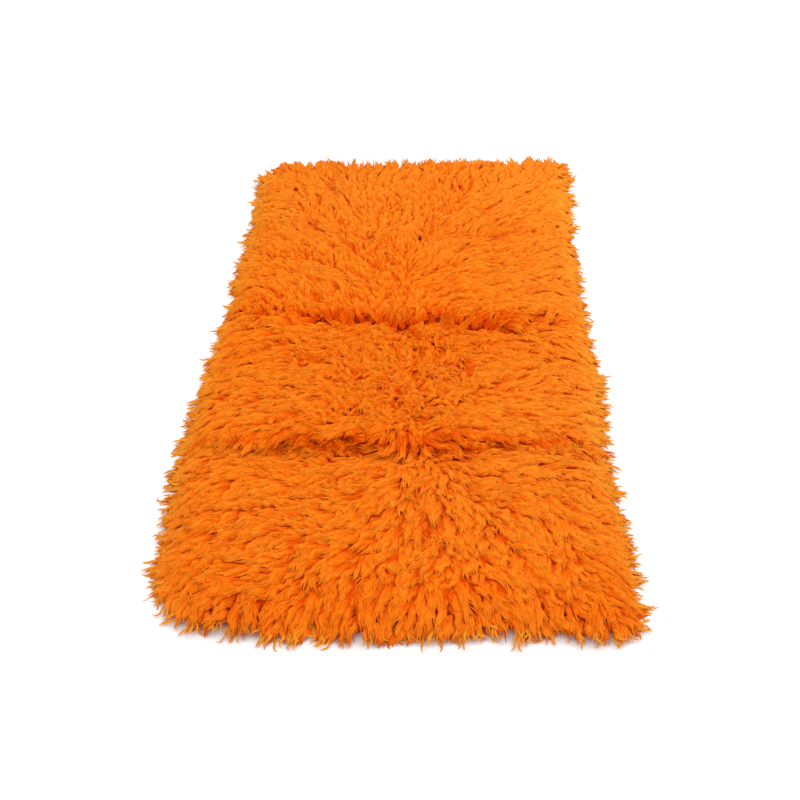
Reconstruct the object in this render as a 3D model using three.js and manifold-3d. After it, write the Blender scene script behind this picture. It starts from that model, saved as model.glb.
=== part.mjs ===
// A long-pile wool rug lying flat on the floor, in millimetres, +Z up.
// The origin is under the middle of the rug, X runs across it and Y along it, away from the near end.
// Pile and woven ground are one piece of cloth, so the rug is one solid: a lumpy slab of pile with a flat
// underside, parted where the rug was once folded, with tapered locks all round its rim.
import * as THREE from "three";
import { mergeVertices } from "three/addons/utils/BufferGeometryUtils.js";
import Module from "manifold-3d";

// Driving dimensions of the whole rug
const GROUND_WIDTH = 660;
const GROUND_LENGTH = 1360;
const PILE_OVERHANG = 20;
const LOCK_REACH = 32;
const PILE_HEIGHT = 38;
const RIM_HEIGHT = 14;
const SHOULDER = 62;

// The dense pile's half sizes, and how far the tip of a rim lock may reach
const HALF_WIDTH = GROUND_WIDTH / 2 + PILE_OVERHANG;
const HALF_LENGTH = GROUND_LENGTH / 2 + PILE_OVERHANG;
const HALF_REACH_X = HALF_WIDTH + LOCK_REACH;
const HALF_REACH_Y = HALF_LENGTH + LOCK_REACH;

// Corners of the pile: which side of the rug each is on, and its radius
const CORNERS = [
  { sideX: -1, sideY: -1, radius: 124 },
  { sideX: 1, sideY: -1, radius: 34 },
  { sideX: -1, sideY: 1, radius: 40 },
  { sideX: 1, sideY: 1, radius: 34 },
];

// How far the left and right sides stand out from the straight at places along the rug
const SIDE_LINES = [
  { y: -700, left: -12, right: 10 },
  { y: -610, left: -14, right: 3 },
  { y: -510, left: -11, right: 3 },
  { y: -430, left: -2, right: -7 },
  { y: -290, left: 3, right: -11 },
  { y: -185, left: 2, right: -4 },
  { y: -70, left: 0, right: -3 },
  { y: 60, left: -8, right: -11 },
  { y: 200, left: -6, right: -12 },
  { y: 375, left: -7, right: -9 },
  { y: 560, left: 0, right: -2 },
  { y: 700, left: 4, right: 4 },
];

// Faces of the slab: cells across and along
const CELLS_ACROSS = 32;
const CELLS_ALONG = 64;

// Lines where the rug was folded, and the pile now parts and leans away to both sides
const PARTINGS = [
  { y: -343, fromX: -345, toX: 75, depth: 14, width: 24, bow: -9, ridge: 8 },
  { y: -352, fromX: 75, toX: 345, depth: 9, width: 24, bow: 12, ridge: 5 },
  { y: 17, fromX: -345, toX: 345, depth: 14, width: 24, bow: -12, ridge: 9 },
  { y: 350, fromX: 20, toX: 345, depth: 6, width: 22, bow: 5, ridge: 4 },
];

// Round hollows where the locks turn about a point
const WHORLS = [
  { x: 49, y: -344, depth: 9, radius: 46 },
  { x: 30, y: -215, depth: 5, radius: 60 },
  { x: -20, y: -95, depth: 4, radius: 58 },
  { x: -60, y: 185, depth: 4, radius: 64 },
  { x: -10, y: 560, depth: 4, radius: 50 },
  { x: -290, y: 610, depth: 5, radius: 44 },
];

// Uneven height of the pile: the size of a lump, and how far it rises or falls
const LUMPS = [
  { across: 120, along: 150, rise: 4.5, seed: 11 },
  { across: 48, along: 60, rise: 5.5, seed: 23 },
];
const TUFT_RISE = 3.6;

// The pile stands up towards the far end, most on the left
const FAR_RISE = { start: 600, left: 10, right: 4 };

// Uneven outline: waves along the rim
const RIM_WAVES = [
  { length: 310, rise: 3.2, phase: 0.6 },
  { length: 118, rise: 2.4, phase: 2.1 },
];

// Locks round the rim, in two rows. The lower row lies level on the floor, the upper row droops over it.
const LOCK_ROWS = [
  {
    count: 102, phase: 0.0, seed: 301,
    shortest: 14, longest: 42, inset: 14,
    width: 36, thickness: 12, rootHeight: 0, tipHeight: 0,
  },
  {
    count: 102, phase: 0.5, seed: 907,
    shortest: 8, longest: 34, inset: 20,
    width: 34, thickness: 11, rootHeight: 14, tipHeight: 4,
  },
];
const LOCK_STEPS = [0, 0.45, 0.8];
const LOCK_SPREAD = 0.42;
const LOCK_BEND = 0.34;
const FAN = 0.45;

// A repeatable number from 0 to 1 for whole numbers i and j
function chance(i, j, seed) {
  let h = Math.imul(i + 7919, 374761393) ^ Math.imul(j + 104729, 668265263) ^ Math.imul(seed, 2246822519);
  h = Math.imul(h ^ (h >>> 13), 1274126177);
  h = Math.imul(h ^ (h >>> 16), 2654435761);
  return ((h ^ (h >>> 15)) >>> 0) / 4294967295;
}

// Smooth noise from -1 to 1 over a lattice one unit wide
function noise(u, v, seed) {
  const i = Math.floor(u);
  const j = Math.floor(v);
  const ease = (t) => t * t * (3 - 2 * t);
  const a = ease(u - i);
  const b = ease(v - j);
  const low = THREE.MathUtils.lerp(chance(i, j, seed), chance(i + 1, j, seed), a);
  const high = THREE.MathUtils.lerp(chance(i, j + 1, seed), chance(i + 1, j + 1, seed), a);
  return 2 * THREE.MathUtils.lerp(low, high, b) - 1;
}

// A square's point, u and v from -1 to 1, moved onto the slab's rounded rectangle
function roundedPoint(u, v) {
  const x = u * HALF_WIDTH;
  const y = v * HALF_LENGTH;
  const { radius } = CORNERS.find((c) => c.sideX * x >= 0 && c.sideY * y >= 0);
  const overX = Math.abs(x) - (HALF_WIDTH - radius);
  const overY = Math.abs(y) - (HALF_LENGTH - radius);
  if (overX <= 0 || overY <= 0) return new THREE.Vector2(x, y);
  // Inside a corner's square, concentric squares become concentric arcs
  const reach = Math.max(overX, overY);
  const length = Math.hypot(overX, overY);
  return new THREE.Vector2(
    Math.sign(x) * (HALF_WIDTH - radius + (overX * reach) / length),
    Math.sign(y) * (HALF_LENGTH - radius + (overY * reach) / length),
  );
}

// How far the rim stands out from, or back of, the plain outline at a point of it
function rimWave(x, y) {
  const along = x + y * 1.3;
  return RIM_WAVES.reduce((sum, w) => sum + w.rise * Math.sin((2 * Math.PI * along) / w.length + w.phase), 0);
}

// How far a side stands out from the straight at a place along the rug
function sideLine(side, y) {
  const above = SIDE_LINES.findIndex((line) => line.y >= y);
  if (above === 0) return SIDE_LINES[0][side];
  if (above < 0) return SIDE_LINES.at(-1)[side];
  const [low, high] = [SIDE_LINES[above - 1], SIDE_LINES[above]];
  return THREE.MathUtils.mapLinear(y, low.y, high.y, low[side], high[side]);
}

// A slab point in plan: u and v run from -1 to 1
function planPoint(u, v) {
  const p = roundedPoint(u, v);
  p.x += u * sideLine(u < 0 ? "left" : "right", p.y);
  const edge = Math.max(Math.abs(u), Math.abs(v)) ** 8;
  const outward = p.clone().normalize();
  if (Math.abs(u) >= Math.abs(v)) outward.set(Math.sign(u), 0);
  else outward.set(0, Math.sign(v));
  return p.addScaledVector(outward, edge * rimWave(p.x, p.y));
}

// How deep the partings and whorls cut into the pile at a point, less the ridge of pile beside each parting
function hollow(x, y) {
  let sum = 0;
  for (const line of PARTINGS) {
    const middle = (line.fromX + line.toX) / 2;
    const half = (line.toX - line.fromX) / 2;
    const across = (x - middle) / half;
    const offset = y - line.y - line.bow * (1 - across * across);
    const fade = 1 - THREE.MathUtils.smoothstep(Math.abs(across), 0.82, 1.12);
    sum += fade * line.depth * Math.exp(-((offset / line.width) ** 2));
    const beyond = (offset - 1.6 * line.width) / (1.1 * line.width);
    sum -= fade * line.ridge * Math.exp(-(beyond ** 2));
  }
  for (const whorl of WHORLS) {
    const away = Math.hypot(x - whorl.x, y - whorl.y) / whorl.radius;
    sum += whorl.depth * Math.exp(-(away ** 2));
  }
  return sum;
}

// Height of the pile over the floor. inward is how far the point lies inside the rim.
function pileHeight(x, y, inward, i, j) {
  const shoulder = Math.sin((Math.PI / 2) * Math.min(1, inward / SHOULDER)) ** 0.85;
  const lumps = LUMPS.reduce((sum, l) => sum + l.rise * noise(x / l.across, y / l.along, l.seed), 0);
  const tuft = TUFT_RISE * (2 * chance(i, j, 57) - 1);
  const far = THREE.MathUtils.smoothstep(y, FAR_RISE.start, HALF_LENGTH);
  const rise = far * THREE.MathUtils.mapLinear(x, -HALF_WIDTH, HALF_WIDTH, FAR_RISE.left, FAR_RISE.right);
  const full = PILE_HEIGHT + lumps + tuft + rise - hollow(x, y);
  const rim = RIM_HEIGHT + 0.5 * (lumps + tuft);
  return THREE.MathUtils.lerp(rim, full, shoulder);
}

// The slab: a grid of pile on top, a wall all round, and a flat underside
function slabGeometry() {
  const positions = [];
  const faces = [];
  const column = CELLS_ALONG + 1;
  for (let i = 0; i <= CELLS_ACROSS; i++) {
    for (let j = 0; j <= CELLS_ALONG; j++) {
      // Cells are narrower near the rim, where the pile curves down
      const u = Math.sin((Math.PI / 2) * ((2 * i) / CELLS_ACROSS - 1)) * 0.45 + ((2 * i) / CELLS_ACROSS - 1) * 0.55;
      const v = Math.sin((Math.PI / 2) * ((2 * j) / CELLS_ALONG - 1)) * 0.3 + ((2 * j) / CELLS_ALONG - 1) * 0.7;
      const p = planPoint(u, v);
      const inward = Math.min((1 - Math.abs(u)) * HALF_WIDTH, (1 - Math.abs(v)) * HALF_LENGTH);
      positions.push(p.x, p.y, pileHeight(p.x, p.y, inward, i, j));
    }
  }
  for (let i = 0; i < CELLS_ACROSS; i++) {
    for (let j = 0; j < CELLS_ALONG; j++) {
      const a = i * column + j;
      const b = a + column;
      if ((i + j) % 2) faces.push(a, b, b + 1, a, b + 1, a + 1);
      else faces.push(a, b, a + 1, b, b + 1, a + 1);
    }
  }
  // The rim, anticlockwise seen from above
  const rim = [];
  for (let i = 0; i < CELLS_ACROSS; i++) rim.push(i * column);
  for (let j = 0; j < CELLS_ALONG; j++) rim.push(CELLS_ACROSS * column + j);
  for (let i = CELLS_ACROSS; i > 0; i--) rim.push(i * column + CELLS_ALONG);
  for (let j = CELLS_ALONG; j > 0; j--) rim.push(j);
  const foot = positions.length / 3;
  for (const top of rim) positions.push(positions[3 * top], positions[3 * top + 1], 0);
  rim.forEach((top, k) => {
    const next = (k + 1) % rim.length;
    faces.push(top, foot + k, foot + next, top, foot + next, rim[next]);
  });
  const outline = rim.map((top) => new THREE.Vector2(positions[3 * top], positions[3 * top + 1]));
  for (const [a, b, c] of THREE.ShapeUtils.triangulateShape(outline, [])) {
    faces.push(foot + a, foot + c, foot + b);
  }
  return closedGeometry(positions, faces);
}

function closedGeometry(positions, faces) {
  const geometry = new THREE.BufferGeometry();
  geometry.setAttribute("position", new THREE.Float32BufferAttribute(positions, 3));
  geometry.setIndex(faces);
  return geometry;
}

// A point of the rim and the way out of it, for a share of the way round, anticlockwise from the near left
function rimPlace(share) {
  const sides = [2 * HALF_WIDTH, 2 * HALF_LENGTH, 2 * HALF_WIDTH, 2 * HALF_LENGTH];
  const round = sides.reduce((sum, side) => sum + side, 0);
  let walk = (((share % 1) + 1) % 1) * round;
  let side = 0;
  while (walk > sides[side]) {
    walk -= sides[side];
    side += 1;
  }
  const t = (2 * walk) / sides[side] - 1;
  const [u, v] = [[t, -1], [1, t], [-t, 1], [-1, -t]][side];
  const outward = new THREE.Vector2(...[[0, -1], [1, 0], [0, 1], [-1, 0]][side]);
  // The locks fan out towards the two ends and past the corners
  outward.x += FAN * u ** 3;
  outward.y += FAN * v ** 3;
  return { point: planPoint(u, v), outward: outward.normalize() };
}

// One tapered lock with a flat underside and a ridge on top, from inside the slab to its tip past the rim
function lockGeometry(row, index) {
  const pick = (n) => chance(index, n, row.seed);
  const { point, outward } = rimPlace((index + row.phase + 0.5 * (pick(1) - 0.5)) / row.count);
  const way = outward.clone().rotateAround(new THREE.Vector2(), LOCK_SPREAD * (2 * pick(2) - 1));
  const sideways = new THREE.Vector2(-way.y, way.x);
  const past = THREE.MathUtils.lerp(row.shortest, row.longest, pick(3));
  const length = row.inset + past;
  const bend = LOCK_BEND * (2 * pick(4) - 1) * past;
  const bulk = THREE.MathUtils.lerp(0.75, 1.1, pick(5));
  const root = point.clone().addScaledVector(way, -row.inset);
  const place = (s) => {
    const p = root.clone().addScaledVector(way, s * length).addScaledVector(sideways, bend * s * s);
    p.x = THREE.MathUtils.clamp(p.x, -HALF_REACH_X, HALF_REACH_X);
    p.y = THREE.MathUtils.clamp(p.y, -HALF_REACH_Y, HALF_REACH_Y);
    return p;
  };
  const height = (s) => THREE.MathUtils.lerp(row.rootHeight, row.tipHeight, s * s);
  const positions = [];
  for (const s of LOCK_STEPS) {
    const centre = place(s);
    const half = (bulk * row.width * (1 - s) ** 0.7) / 2;
    const ridge = bulk * row.thickness * (1 - s) ** 0.8;
    const left = centre.clone().addScaledVector(sideways, half);
    const right = centre.clone().addScaledVector(sideways, -half);
    positions.push(left.x, left.y, height(s));
    positions.push(right.x, right.y, height(s));
    positions.push(centre.x, centre.y, height(s) + ridge);
  }
  const tip = place(1);
  positions.push(tip.x, tip.y, height(1));
  const faces = [0, 1, 2];
  const rings = LOCK_STEPS.length;
  for (let k = 0; k + 1 < rings; k++) {
    for (let a = 0; a < 3; a++) {
      const b = (a + 1) % 3;
      faces.push(3 * k + a, 3 * k + 3 + a, 3 * k + 3 + b, 3 * k + a, 3 * k + 3 + b, 3 * k + b);
    }
  }
  const last = 3 * (rings - 1);
  for (let a = 0; a < 3; a++) faces.push(last + a, 3 * rings, last + ((a + 1) % 3));
  return closedGeometry(positions, faces);
}

const wasm = await Module();
wasm.setup();

function solidOf(geometry) {
  const merged = mergeVertices(geometry, 1e-3);
  const mesh = new wasm.Mesh({
    numProp: 3,
    vertProperties: new Float32Array(merged.attributes.position.array),
    triVerts: new Uint32Array(merged.index.array),
  });
  return new wasm.Manifold(mesh);
}

function geometryOf(solid) {
  const mesh = solid.getMesh();
  const geometry = new THREE.BufferGeometry();
  geometry.setAttribute("position", new THREE.BufferAttribute(mesh.vertProperties, mesh.numProp));
  geometry.setIndex(new THREE.BufferAttribute(mesh.triVerts, 1));
  return geometry;
}

// Slab and rim locks joined into one solid, with the origin under the middle of its box
function rugSolid() {
  let rug = solidOf(slabGeometry());
  for (const row of LOCK_ROWS) {
    for (let index = 0; index < row.count; index++) rug = rug.add(solidOf(lockGeometry(row, index)));
  }
  const { min, max } = rug.boundingBox();
  return rug.translate([-(min[0] + max[0]) / 2, -(min[1] + max[1]) / 2, 0]);
}

const orangeWool = new THREE.MeshStandardMaterial({ color: 0xf37317, roughness: 0.95, metalness: 0 });
const rug = new THREE.Mesh(geometryOf(rugSolid()), orangeWool);
rug.name = "shag_rug";

const group = new THREE.Group();
group.add(rug);

export default group;
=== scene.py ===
"""A long-pile wool shag rug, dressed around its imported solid.

Sizes are in metres. The rug lies on the floor with its middle over the origin, X across it and Y along it,
away from the near end. Its woven ground, felted lower pile and laid locks are pieces of one rigid body.
"""

import logging
import math
from dataclasses import dataclass, fields
from enum import Enum

import bpy
import numpy as np
from mathutils import Matrix, Vector
from mathutils.bvhtree import BVHTree


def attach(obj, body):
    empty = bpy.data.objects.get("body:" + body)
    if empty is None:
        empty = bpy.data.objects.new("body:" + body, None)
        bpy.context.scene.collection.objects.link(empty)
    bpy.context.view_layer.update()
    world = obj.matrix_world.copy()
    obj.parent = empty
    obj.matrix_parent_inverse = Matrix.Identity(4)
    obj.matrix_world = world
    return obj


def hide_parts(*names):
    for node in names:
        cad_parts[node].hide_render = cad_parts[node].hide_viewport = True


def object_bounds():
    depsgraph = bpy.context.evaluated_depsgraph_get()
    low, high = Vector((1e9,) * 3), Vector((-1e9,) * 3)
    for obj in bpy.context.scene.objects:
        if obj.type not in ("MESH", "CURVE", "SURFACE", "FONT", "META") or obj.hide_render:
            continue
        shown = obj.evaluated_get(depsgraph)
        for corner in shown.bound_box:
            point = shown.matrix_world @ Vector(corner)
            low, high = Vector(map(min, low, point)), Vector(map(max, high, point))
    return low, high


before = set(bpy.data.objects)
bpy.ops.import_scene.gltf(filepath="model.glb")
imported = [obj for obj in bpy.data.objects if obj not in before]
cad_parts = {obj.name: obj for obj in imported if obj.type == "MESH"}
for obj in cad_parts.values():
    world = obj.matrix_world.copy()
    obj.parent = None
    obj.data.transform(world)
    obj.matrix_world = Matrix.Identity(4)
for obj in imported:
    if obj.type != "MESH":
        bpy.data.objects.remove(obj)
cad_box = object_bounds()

log = logging.getLogger("rug")

NODE = "shag_rug"
BODY = "root"
MM = 0.001
FULL_TURN = 2 * math.pi
UP = np.array([0.0, 0.0, 1.0])


# Shading


class Number:
    """A number socket of a shader, with Python's arithmetic."""

    def __init__(self, shader: "Shader", socket: bpy.types.NodeSocket) -> None:
        """Keeps the shader that the socket belongs to."""
        self.shader = shader
        self.socket = socket

    def _math(self, operation: str, first: "Number | float", second: "Number | float" = 0.0) -> "Number":
        """Adds one Math node.

        Args:
            operation: Blender's name for the operation.
            first: the first number.
            second: the second number, where the operation has one.

        Returns:
            The node's result.
        """
        made = self.shader.node("ShaderNodeMath", {"operation": operation}, {0: first, 1: second})
        return Number(self.shader, made.outputs[0])

    def __add__(self, other: "Number | float") -> "Number":
        """The sum."""
        return self._math("ADD", self, other)

    __radd__ = __add__

    def __sub__(self, other: "Number | float") -> "Number":
        """The difference."""
        return self._math("SUBTRACT", self, other)

    def __rsub__(self, other: "Number | float") -> "Number":
        """The difference, from the other side."""
        return self._math("SUBTRACT", other, self)

    def __mul__(self, other: "Number | float") -> "Number":
        """The product."""
        return self._math("MULTIPLY", self, other)

    __rmul__ = __mul__

    def __pow__(self, other: "Number | float") -> "Number":
        """The power."""
        return self._math("POWER", self, other)

    def at_least(self, other: "Number | float") -> "Number":
        """The larger of the two."""
        return self._math("MAXIMUM", self, other)

    def at_most(self, other: "Number | float") -> "Number":
        """The smaller of the two."""
        return self._math("MINIMUM", self, other)

    def ramp(self, gain: float, start: float = 0.0, most: float = 1.0) -> "Number":
        """The number times a gain, plus a start, held between 0 and the most."""
        return (self * gain + start).at_least(0.0).at_most(most)

    def sine(self) -> "Number":
        """The sine."""
        return self._math("SINE", self)


class Shader:
    """Builds the nodes of one material."""

    grain_roughness = 0.55

    def __init__(self, name: str) -> None:
        """Starts a material with a Principled shader and an output.

        Args:
            name: the material's name.
        """
        self.material = bpy.data.materials.new(name)
        self.material.use_nodes = True
        self.tree = self.material.node_tree
        self.tree.nodes.clear()
        self.surface = self.node("ShaderNodeBsdfPrincipled", {}, {})
        output = self.node("ShaderNodeOutputMaterial", {}, {})
        self.tree.links.new(self.surface.outputs[0], output.inputs["Surface"])

    def node(self, kind: str, settings: dict[str, object], inputs: dict[int | str, object]) -> bpy.types.Node:
        """Adds one node.

        Args:
            kind: Blender's node type.
            settings: the node's own settings, set before its sockets.
            inputs: a value, a socket or a Number for each named or numbered socket.

        Returns:
            The new node.
        """
        made = self.tree.nodes.new(kind)
        for key, setting in settings.items():
            setattr(made, key, setting)
        for key, given in inputs.items():
            socket = made.inputs[key]
            if isinstance(given, Number):
                given = given.socket
            if isinstance(given, bpy.types.NodeSocket):
                self.tree.links.new(given, socket)
            else:
                socket.default_value = given
        return made

    def attribute(self, name: str, output: str) -> bpy.types.NodeSocket:
        """The socket of a mesh attribute, as Vector, Color or Fac."""
        return self.node("ShaderNodeAttribute", {"attribute_name": name}, {}).outputs[output]

    def value(self, name: str) -> Number:
        """A mesh attribute that holds one number."""
        return Number(self, self.attribute(name, "Fac"))

    def place(self) -> bpy.types.NodeSocket:
        """Where the surface lies, in metres."""
        return self.node("ShaderNodeNewGeometry", {}, {}).outputs["Position"]

    def parts(self, vector: bpy.types.NodeSocket) -> list[Number]:
        """The three numbers of a vector."""
        return [Number(self, part) for part in self.node("ShaderNodeSeparateXYZ", {}, {0: vector}).outputs]

    def stretched(
        self, vector: bpy.types.NodeSocket, scale: tuple[float, float, float]
    ) -> bpy.types.NodeSocket:
        """A vector times a scale for each axis."""
        made = self.node("ShaderNodeVectorMath", {"operation": "MULTIPLY"}, {0: vector, 1: scale})
        return made.outputs[0]

    def crinkled(self, vector: bpy.types.NodeSocket, length: float, width: float) -> bpy.types.NodeSocket:
        """A vector whose first axis swings to and fro along its second, out of step from lock to lock.

        Args:
            vector: the fibre coordinates, in millimetres, with the lock's own number as the third.
            length: the length of one wave.
            width: how far it swings.

        Returns:
            The crinkled vector.
        """
        across, along, lock = self.parts(vector)
        slow_length = 2.7 * length
        slow = (along * (FULL_TURN / slow_length) + lock * 1.3 + across * 0.15).sine()
        wave = (along * (FULL_TURN / length) + lock + slow * 1.5 + across * 0.35).sine()
        swing = self.node("ShaderNodeCombineXYZ", {}, {0: wave * width}).outputs[0]
        return self.node("ShaderNodeVectorMath", {}, {0: vector, 1: swing}).outputs[0]

    def noise(self, vector: bpy.types.NodeSocket, scale: float, detail: float, warp: float = 0.0) -> Number:
        """Noise from 0 to 1.

        Args:
            vector: where the noise is read.
            scale: how many grains there are to a unit.
            detail: how many finer layers it has.
            warp: how strongly it is distorted.

        Returns:
            The noise.
        """
        settings = {"Scale": scale, "Detail": detail, "Roughness": self.grain_roughness, "Distortion": warp}
        made = self.node("ShaderNodeTexNoise", {}, {"Vector": vector, **settings})
        return Number(self, made.outputs[0])

    def mix(self, share: Number | float, first: object, second: object) -> bpy.types.NodeSocket:
        """The colour that lies a share of the way from the first to the second."""
        made = self.node("ShaderNodeMix", {"data_type": "RGBA"}, {0: share, 6: first, 7: second})
        return made.outputs[2]

    def lit(self, colour: bpy.types.NodeSocket, strength: Number | float) -> bpy.types.NodeSocket:
        """A colour times a number."""
        made = self.node("ShaderNodeVectorMath", {"operation": "SCALE"}, {0: colour, "Scale": strength})
        return made.outputs[0]

    def bump(self, height: Number, strength: float, distance: float) -> bpy.types.NodeSocket:
        """The normal of a surface raised by a height from 0 to 1, over a distance in metres."""
        made = self.node("ShaderNodeBump", {}, {"Strength": strength, "Distance": distance, "Height": height})
        return made.outputs[0]

    def finish(self, constants: dict[str, object], linked: dict[str, object]) -> bpy.types.Material:
        """Sets the Principled shader's sockets.

        Args:
            constants: a value for each socket that is the same all over.
            linked: a socket or Number for each socket that changes over the surface.

        Returns:
            The material.
        """
        for key, constant in constants.items():
            self.surface.inputs[key].default_value = constant
        for key, source in linked.items():
            if isinstance(source, Number):
                source = source.socket
            self.tree.links.new(source, self.surface.inputs[key])
        return self.material


Colour = tuple[float, float, float, float]


@dataclass(frozen=True)
class LockWool:
    """Long combed wool: bright orange lengths; painted shade in deep red towards the roots and in the gaps;
    lighter tips and streaks, painted highlights where they stand up; and painted light in yellower orange in
    places.

    Crinkle and grain are in millimetres of fibre. A point's depth is 0 on a ridge and up to 2 in a deep gap,
    and the deeper it lies the more painted shade it takes.
    """

    # The root colour is painted shade deep in the pile, the tip colour lighter tips and painted highlights on
    # ridges, the yellower colour painted light, and the darkest colour painted shadow in the deep gaps.
    root: Colour = (0.71, 0.046, 0.001, 1.0)
    length: Colour = (0.94, 0.180, 0.004, 1.0)
    tip: Colour = (0.96, 0.300, 0.022, 1.0)
    painted_light_colour: Colour = (0.95, 0.340, 0.030, 1.0)
    gap_shadow: Colour = (0.36, 0.016, 0.0005, 1.0)
    roughness: float = 0.9
    brightness: float = 0.98
    tone_range: float = 0.025
    crinkle_length: float = 13.0
    crinkle_width: float = 1.1
    broad_grain: tuple[float, float, float] = (0.50, 0.055, 1.0)
    fine_grain: tuple[float, float, float] = (1.3, 0.09, 1.0)
    streak_depth: float = 0.35 * MM

    def material(self) -> bpy.types.Material:
        """Builds the wool.

        Returns:
            The material.
        """
        shader = Shader("lock_wool")
        fibre = shader.attribute("fibre", "Vector")
        fibre = shader.crinkled(fibre, self.crinkle_length, self.crinkle_width)
        reach, depth, tone, fade = (shader.value(name) for name in ("reach", "depth", "tone", "fade"))
        broad = shader.noise(shader.stretched(fibre, self.broad_grain), 1.0, 2.0, 0.5)
        fine = shader.noise(shader.stretched(fibre, self.fine_grain), 1.0, 2.0, 0.6)
        streak = broad * 0.6 + fine * 0.4
        crest = (1.0 - depth).at_least(0.0)
        # From root to tip, with painted shade at the root; then lighter tips and light streaks, painted
        # highlights on what stands up; then painted light in a yellower colour
        colour = shader.mix(reach.ramp(2.2), self.root, self.length)
        colour = shader.mix(reach.ramp(1.6, -0.6) * crest * crest, colour, self.tip)
        colour = shader.mix(streak.ramp(5.0, -2.55, 0.75) * crest, colour, self.tip)
        colour = shader.mix(fade * crest, colour, self.painted_light_colour)
        # Red streaks along the grain, partly painted shade between fibres, more painted shade in red the
        # deeper a point lies, and painted shadow, darkest, in the deep gaps
        red = 2.92 - streak * 6.4 + depth * 0.9 - tone * 0.15
        colour = shader.mix(red.at_least(0.0).at_most(0.95), colour, self.root)
        colour = shader.mix(depth.ramp(1.1, -1.15, 0.85), colour, self.gap_shadow)
        return shader.finish(
            {"Roughness": self.roughness, "Specular IOR Level": 0.0},
            {
                "Base Color": shader.lit(colour, self.brightness + tone * self.tone_range),
                "Normal": shader.bump(streak, 0.75, self.streak_depth),
            },
        )


@dataclass(frozen=True)
class FeltedWool:
    """The matted lower pile, where locks have tangled: fuzzy, deep red-orange as painted shade under the
    locks, and darker in its low spots as painted shade.
    """

    hollow_shade: Colour = (0.72, 0.058, 0.001, 1.0)
    crest: Colour = (0.92, 0.130, 0.003, 1.0)
    roughness: float = 0.92
    clumps_a_metre: float = 110.0
    hairs_a_metre: float = 620.0
    clump_depth: float = 3.0 * MM

    def material(self) -> bpy.types.Material:
        """Builds the felt.

        Returns:
            The material.
        """
        shader = Shader("felted_wool")
        place = shader.place()
        clumps = shader.noise(place, self.clumps_a_metre, 3.0, 0.6)
        fuzz = shader.noise(place, self.hairs_a_metre, 3.0, 1.2)
        height = clumps * 0.6 + fuzz * 0.4
        return shader.finish(
            {"Roughness": self.roughness, "Specular IOR Level": 0.0},
            {
                # Painted shade: darker where the lumps are low
                "Base Color": shader.mix(height.ramp(2.4, -0.7), self.hollow_shade, self.crest),
                "Normal": shader.bump(height, 0.8, self.clump_depth),
            },
        )


@dataclass(frozen=True)
class GroundWeave:
    """The woven wool ground seen from below: a plain weave of thick yarn, with the locks' feet in rows, and
    painted shade darker in the dips between yarns.
    """

    hollow_shade: Colour = (0.42, 0.045, 0.003, 1.0)
    yarn: Colour = (0.80, 0.165, 0.012, 1.0)
    yarn_pitch: float = 3.4 * MM
    row_pitch: float = 13.6 * MM
    wander: float = 1.6 * MM
    wanders_a_metre: float = 45.0
    hairs_a_metre: float = 900.0
    yarn_depth: float = 1.2 * MM
    roughness: float = 0.9

    def material(self) -> bpy.types.Material:
        """Builds the weave.

        Returns:
            The material.
        """
        shader = Shader("ground_weave")
        place = shader.place()
        x, y, _ = shader.parts(place)
        wander = (shader.noise(place, self.wanders_a_metre, 2.0) - 0.5) * self.wander
        turns = math.pi / self.yarn_pitch
        across, along = (x + wander) * turns, (y + wander) * turns
        # Over and under: each yarn is a ridge that rises where the other dips
        crossing = across.sine() * along.sine()
        warp_up = (crossing * 0.5 + 0.5) * (across.sine() ** 2.0)
        weft_up = (0.5 - crossing * 0.5) * (along.sine() ** 2.0)
        rows = ((along * (self.yarn_pitch / self.row_pitch)).sine() ** 8.0) * (across.sine() ** 2.0)
        fuzz = shader.noise(place, self.hairs_a_metre, 3.0, 0.8)
        height = warp_up.at_least(weft_up).at_least(rows) * 0.75 + fuzz * 0.25
        return shader.finish(
            {"Roughness": self.roughness, "Specular IOR Level": 0.15},
            {
                # Painted shade: darker in the dips between yarns
                "Base Color": shader.mix(height.ramp(1.3), self.hollow_shade, self.yarn),
                "Normal": shader.bump(height, 0.9, self.yarn_depth),
            },
        )


# Measures


class Seed(Enum):
    """The seed of each noise and of the locks' random numbers."""

    SWIRL = 5
    FINE_SWIRL = 6
    MUDDLE = 7
    CREASE = 12
    MUDDLE_CREASE = 13
    WANDER = 14
    FINE_WANDER = 15
    BREAK = 16
    LOCKS = 20
    LUMP = 41
    FINE_LUMP = 42
    TONE = 71
    FADE = 81
    FOOT = 83


LATTICE = 64


def blended(grid: np.ndarray, i: np.ndarray, j: np.ndarray, a: np.ndarray, b: np.ndarray) -> np.ndarray:
    """Reads a grid between its points, going on at its start past its end.

    Args:
        grid: the values.
        i: the rows before the places.
        j: the columns before them.
        a: how far they lie towards the next row, from 0 to 1.
        b: how far they lie towards the next column.

    Returns:
        The values at the places.
    """
    next_i, next_j = (i + 1) % grid.shape[0], (j + 1) % grid.shape[1]
    near = grid[i, j] * (1 - a) + grid[next_i, j] * a
    far = grid[i, next_j] * (1 - a) + grid[next_i, next_j] * a
    return near * (1 - b) + far * b


def soft_noise(x: np.ndarray, y: np.ndarray, size: float, seed: Seed) -> np.ndarray:
    """Smooth noise over the floor.

    Args:
        x: places across the rug.
        y: places along it.
        size: the width of one swell.
        seed: which noise.

    Returns:
        Numbers from -1 to 1.
    """
    lattice = np.random.default_rng(seed.value).uniform(-1, 1, (LATTICE, LATTICE))
    u, v = x / size + 31.3, y / size + 27.7
    i, j = np.floor(u).astype(int), np.floor(v).astype(int)
    a, b = u - i, v - j
    a, b = a * a * (3 - 2 * a), b * b * (3 - 2 * b)
    return blended(lattice, i % LATTICE, j % LATTICE, a, b)


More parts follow.
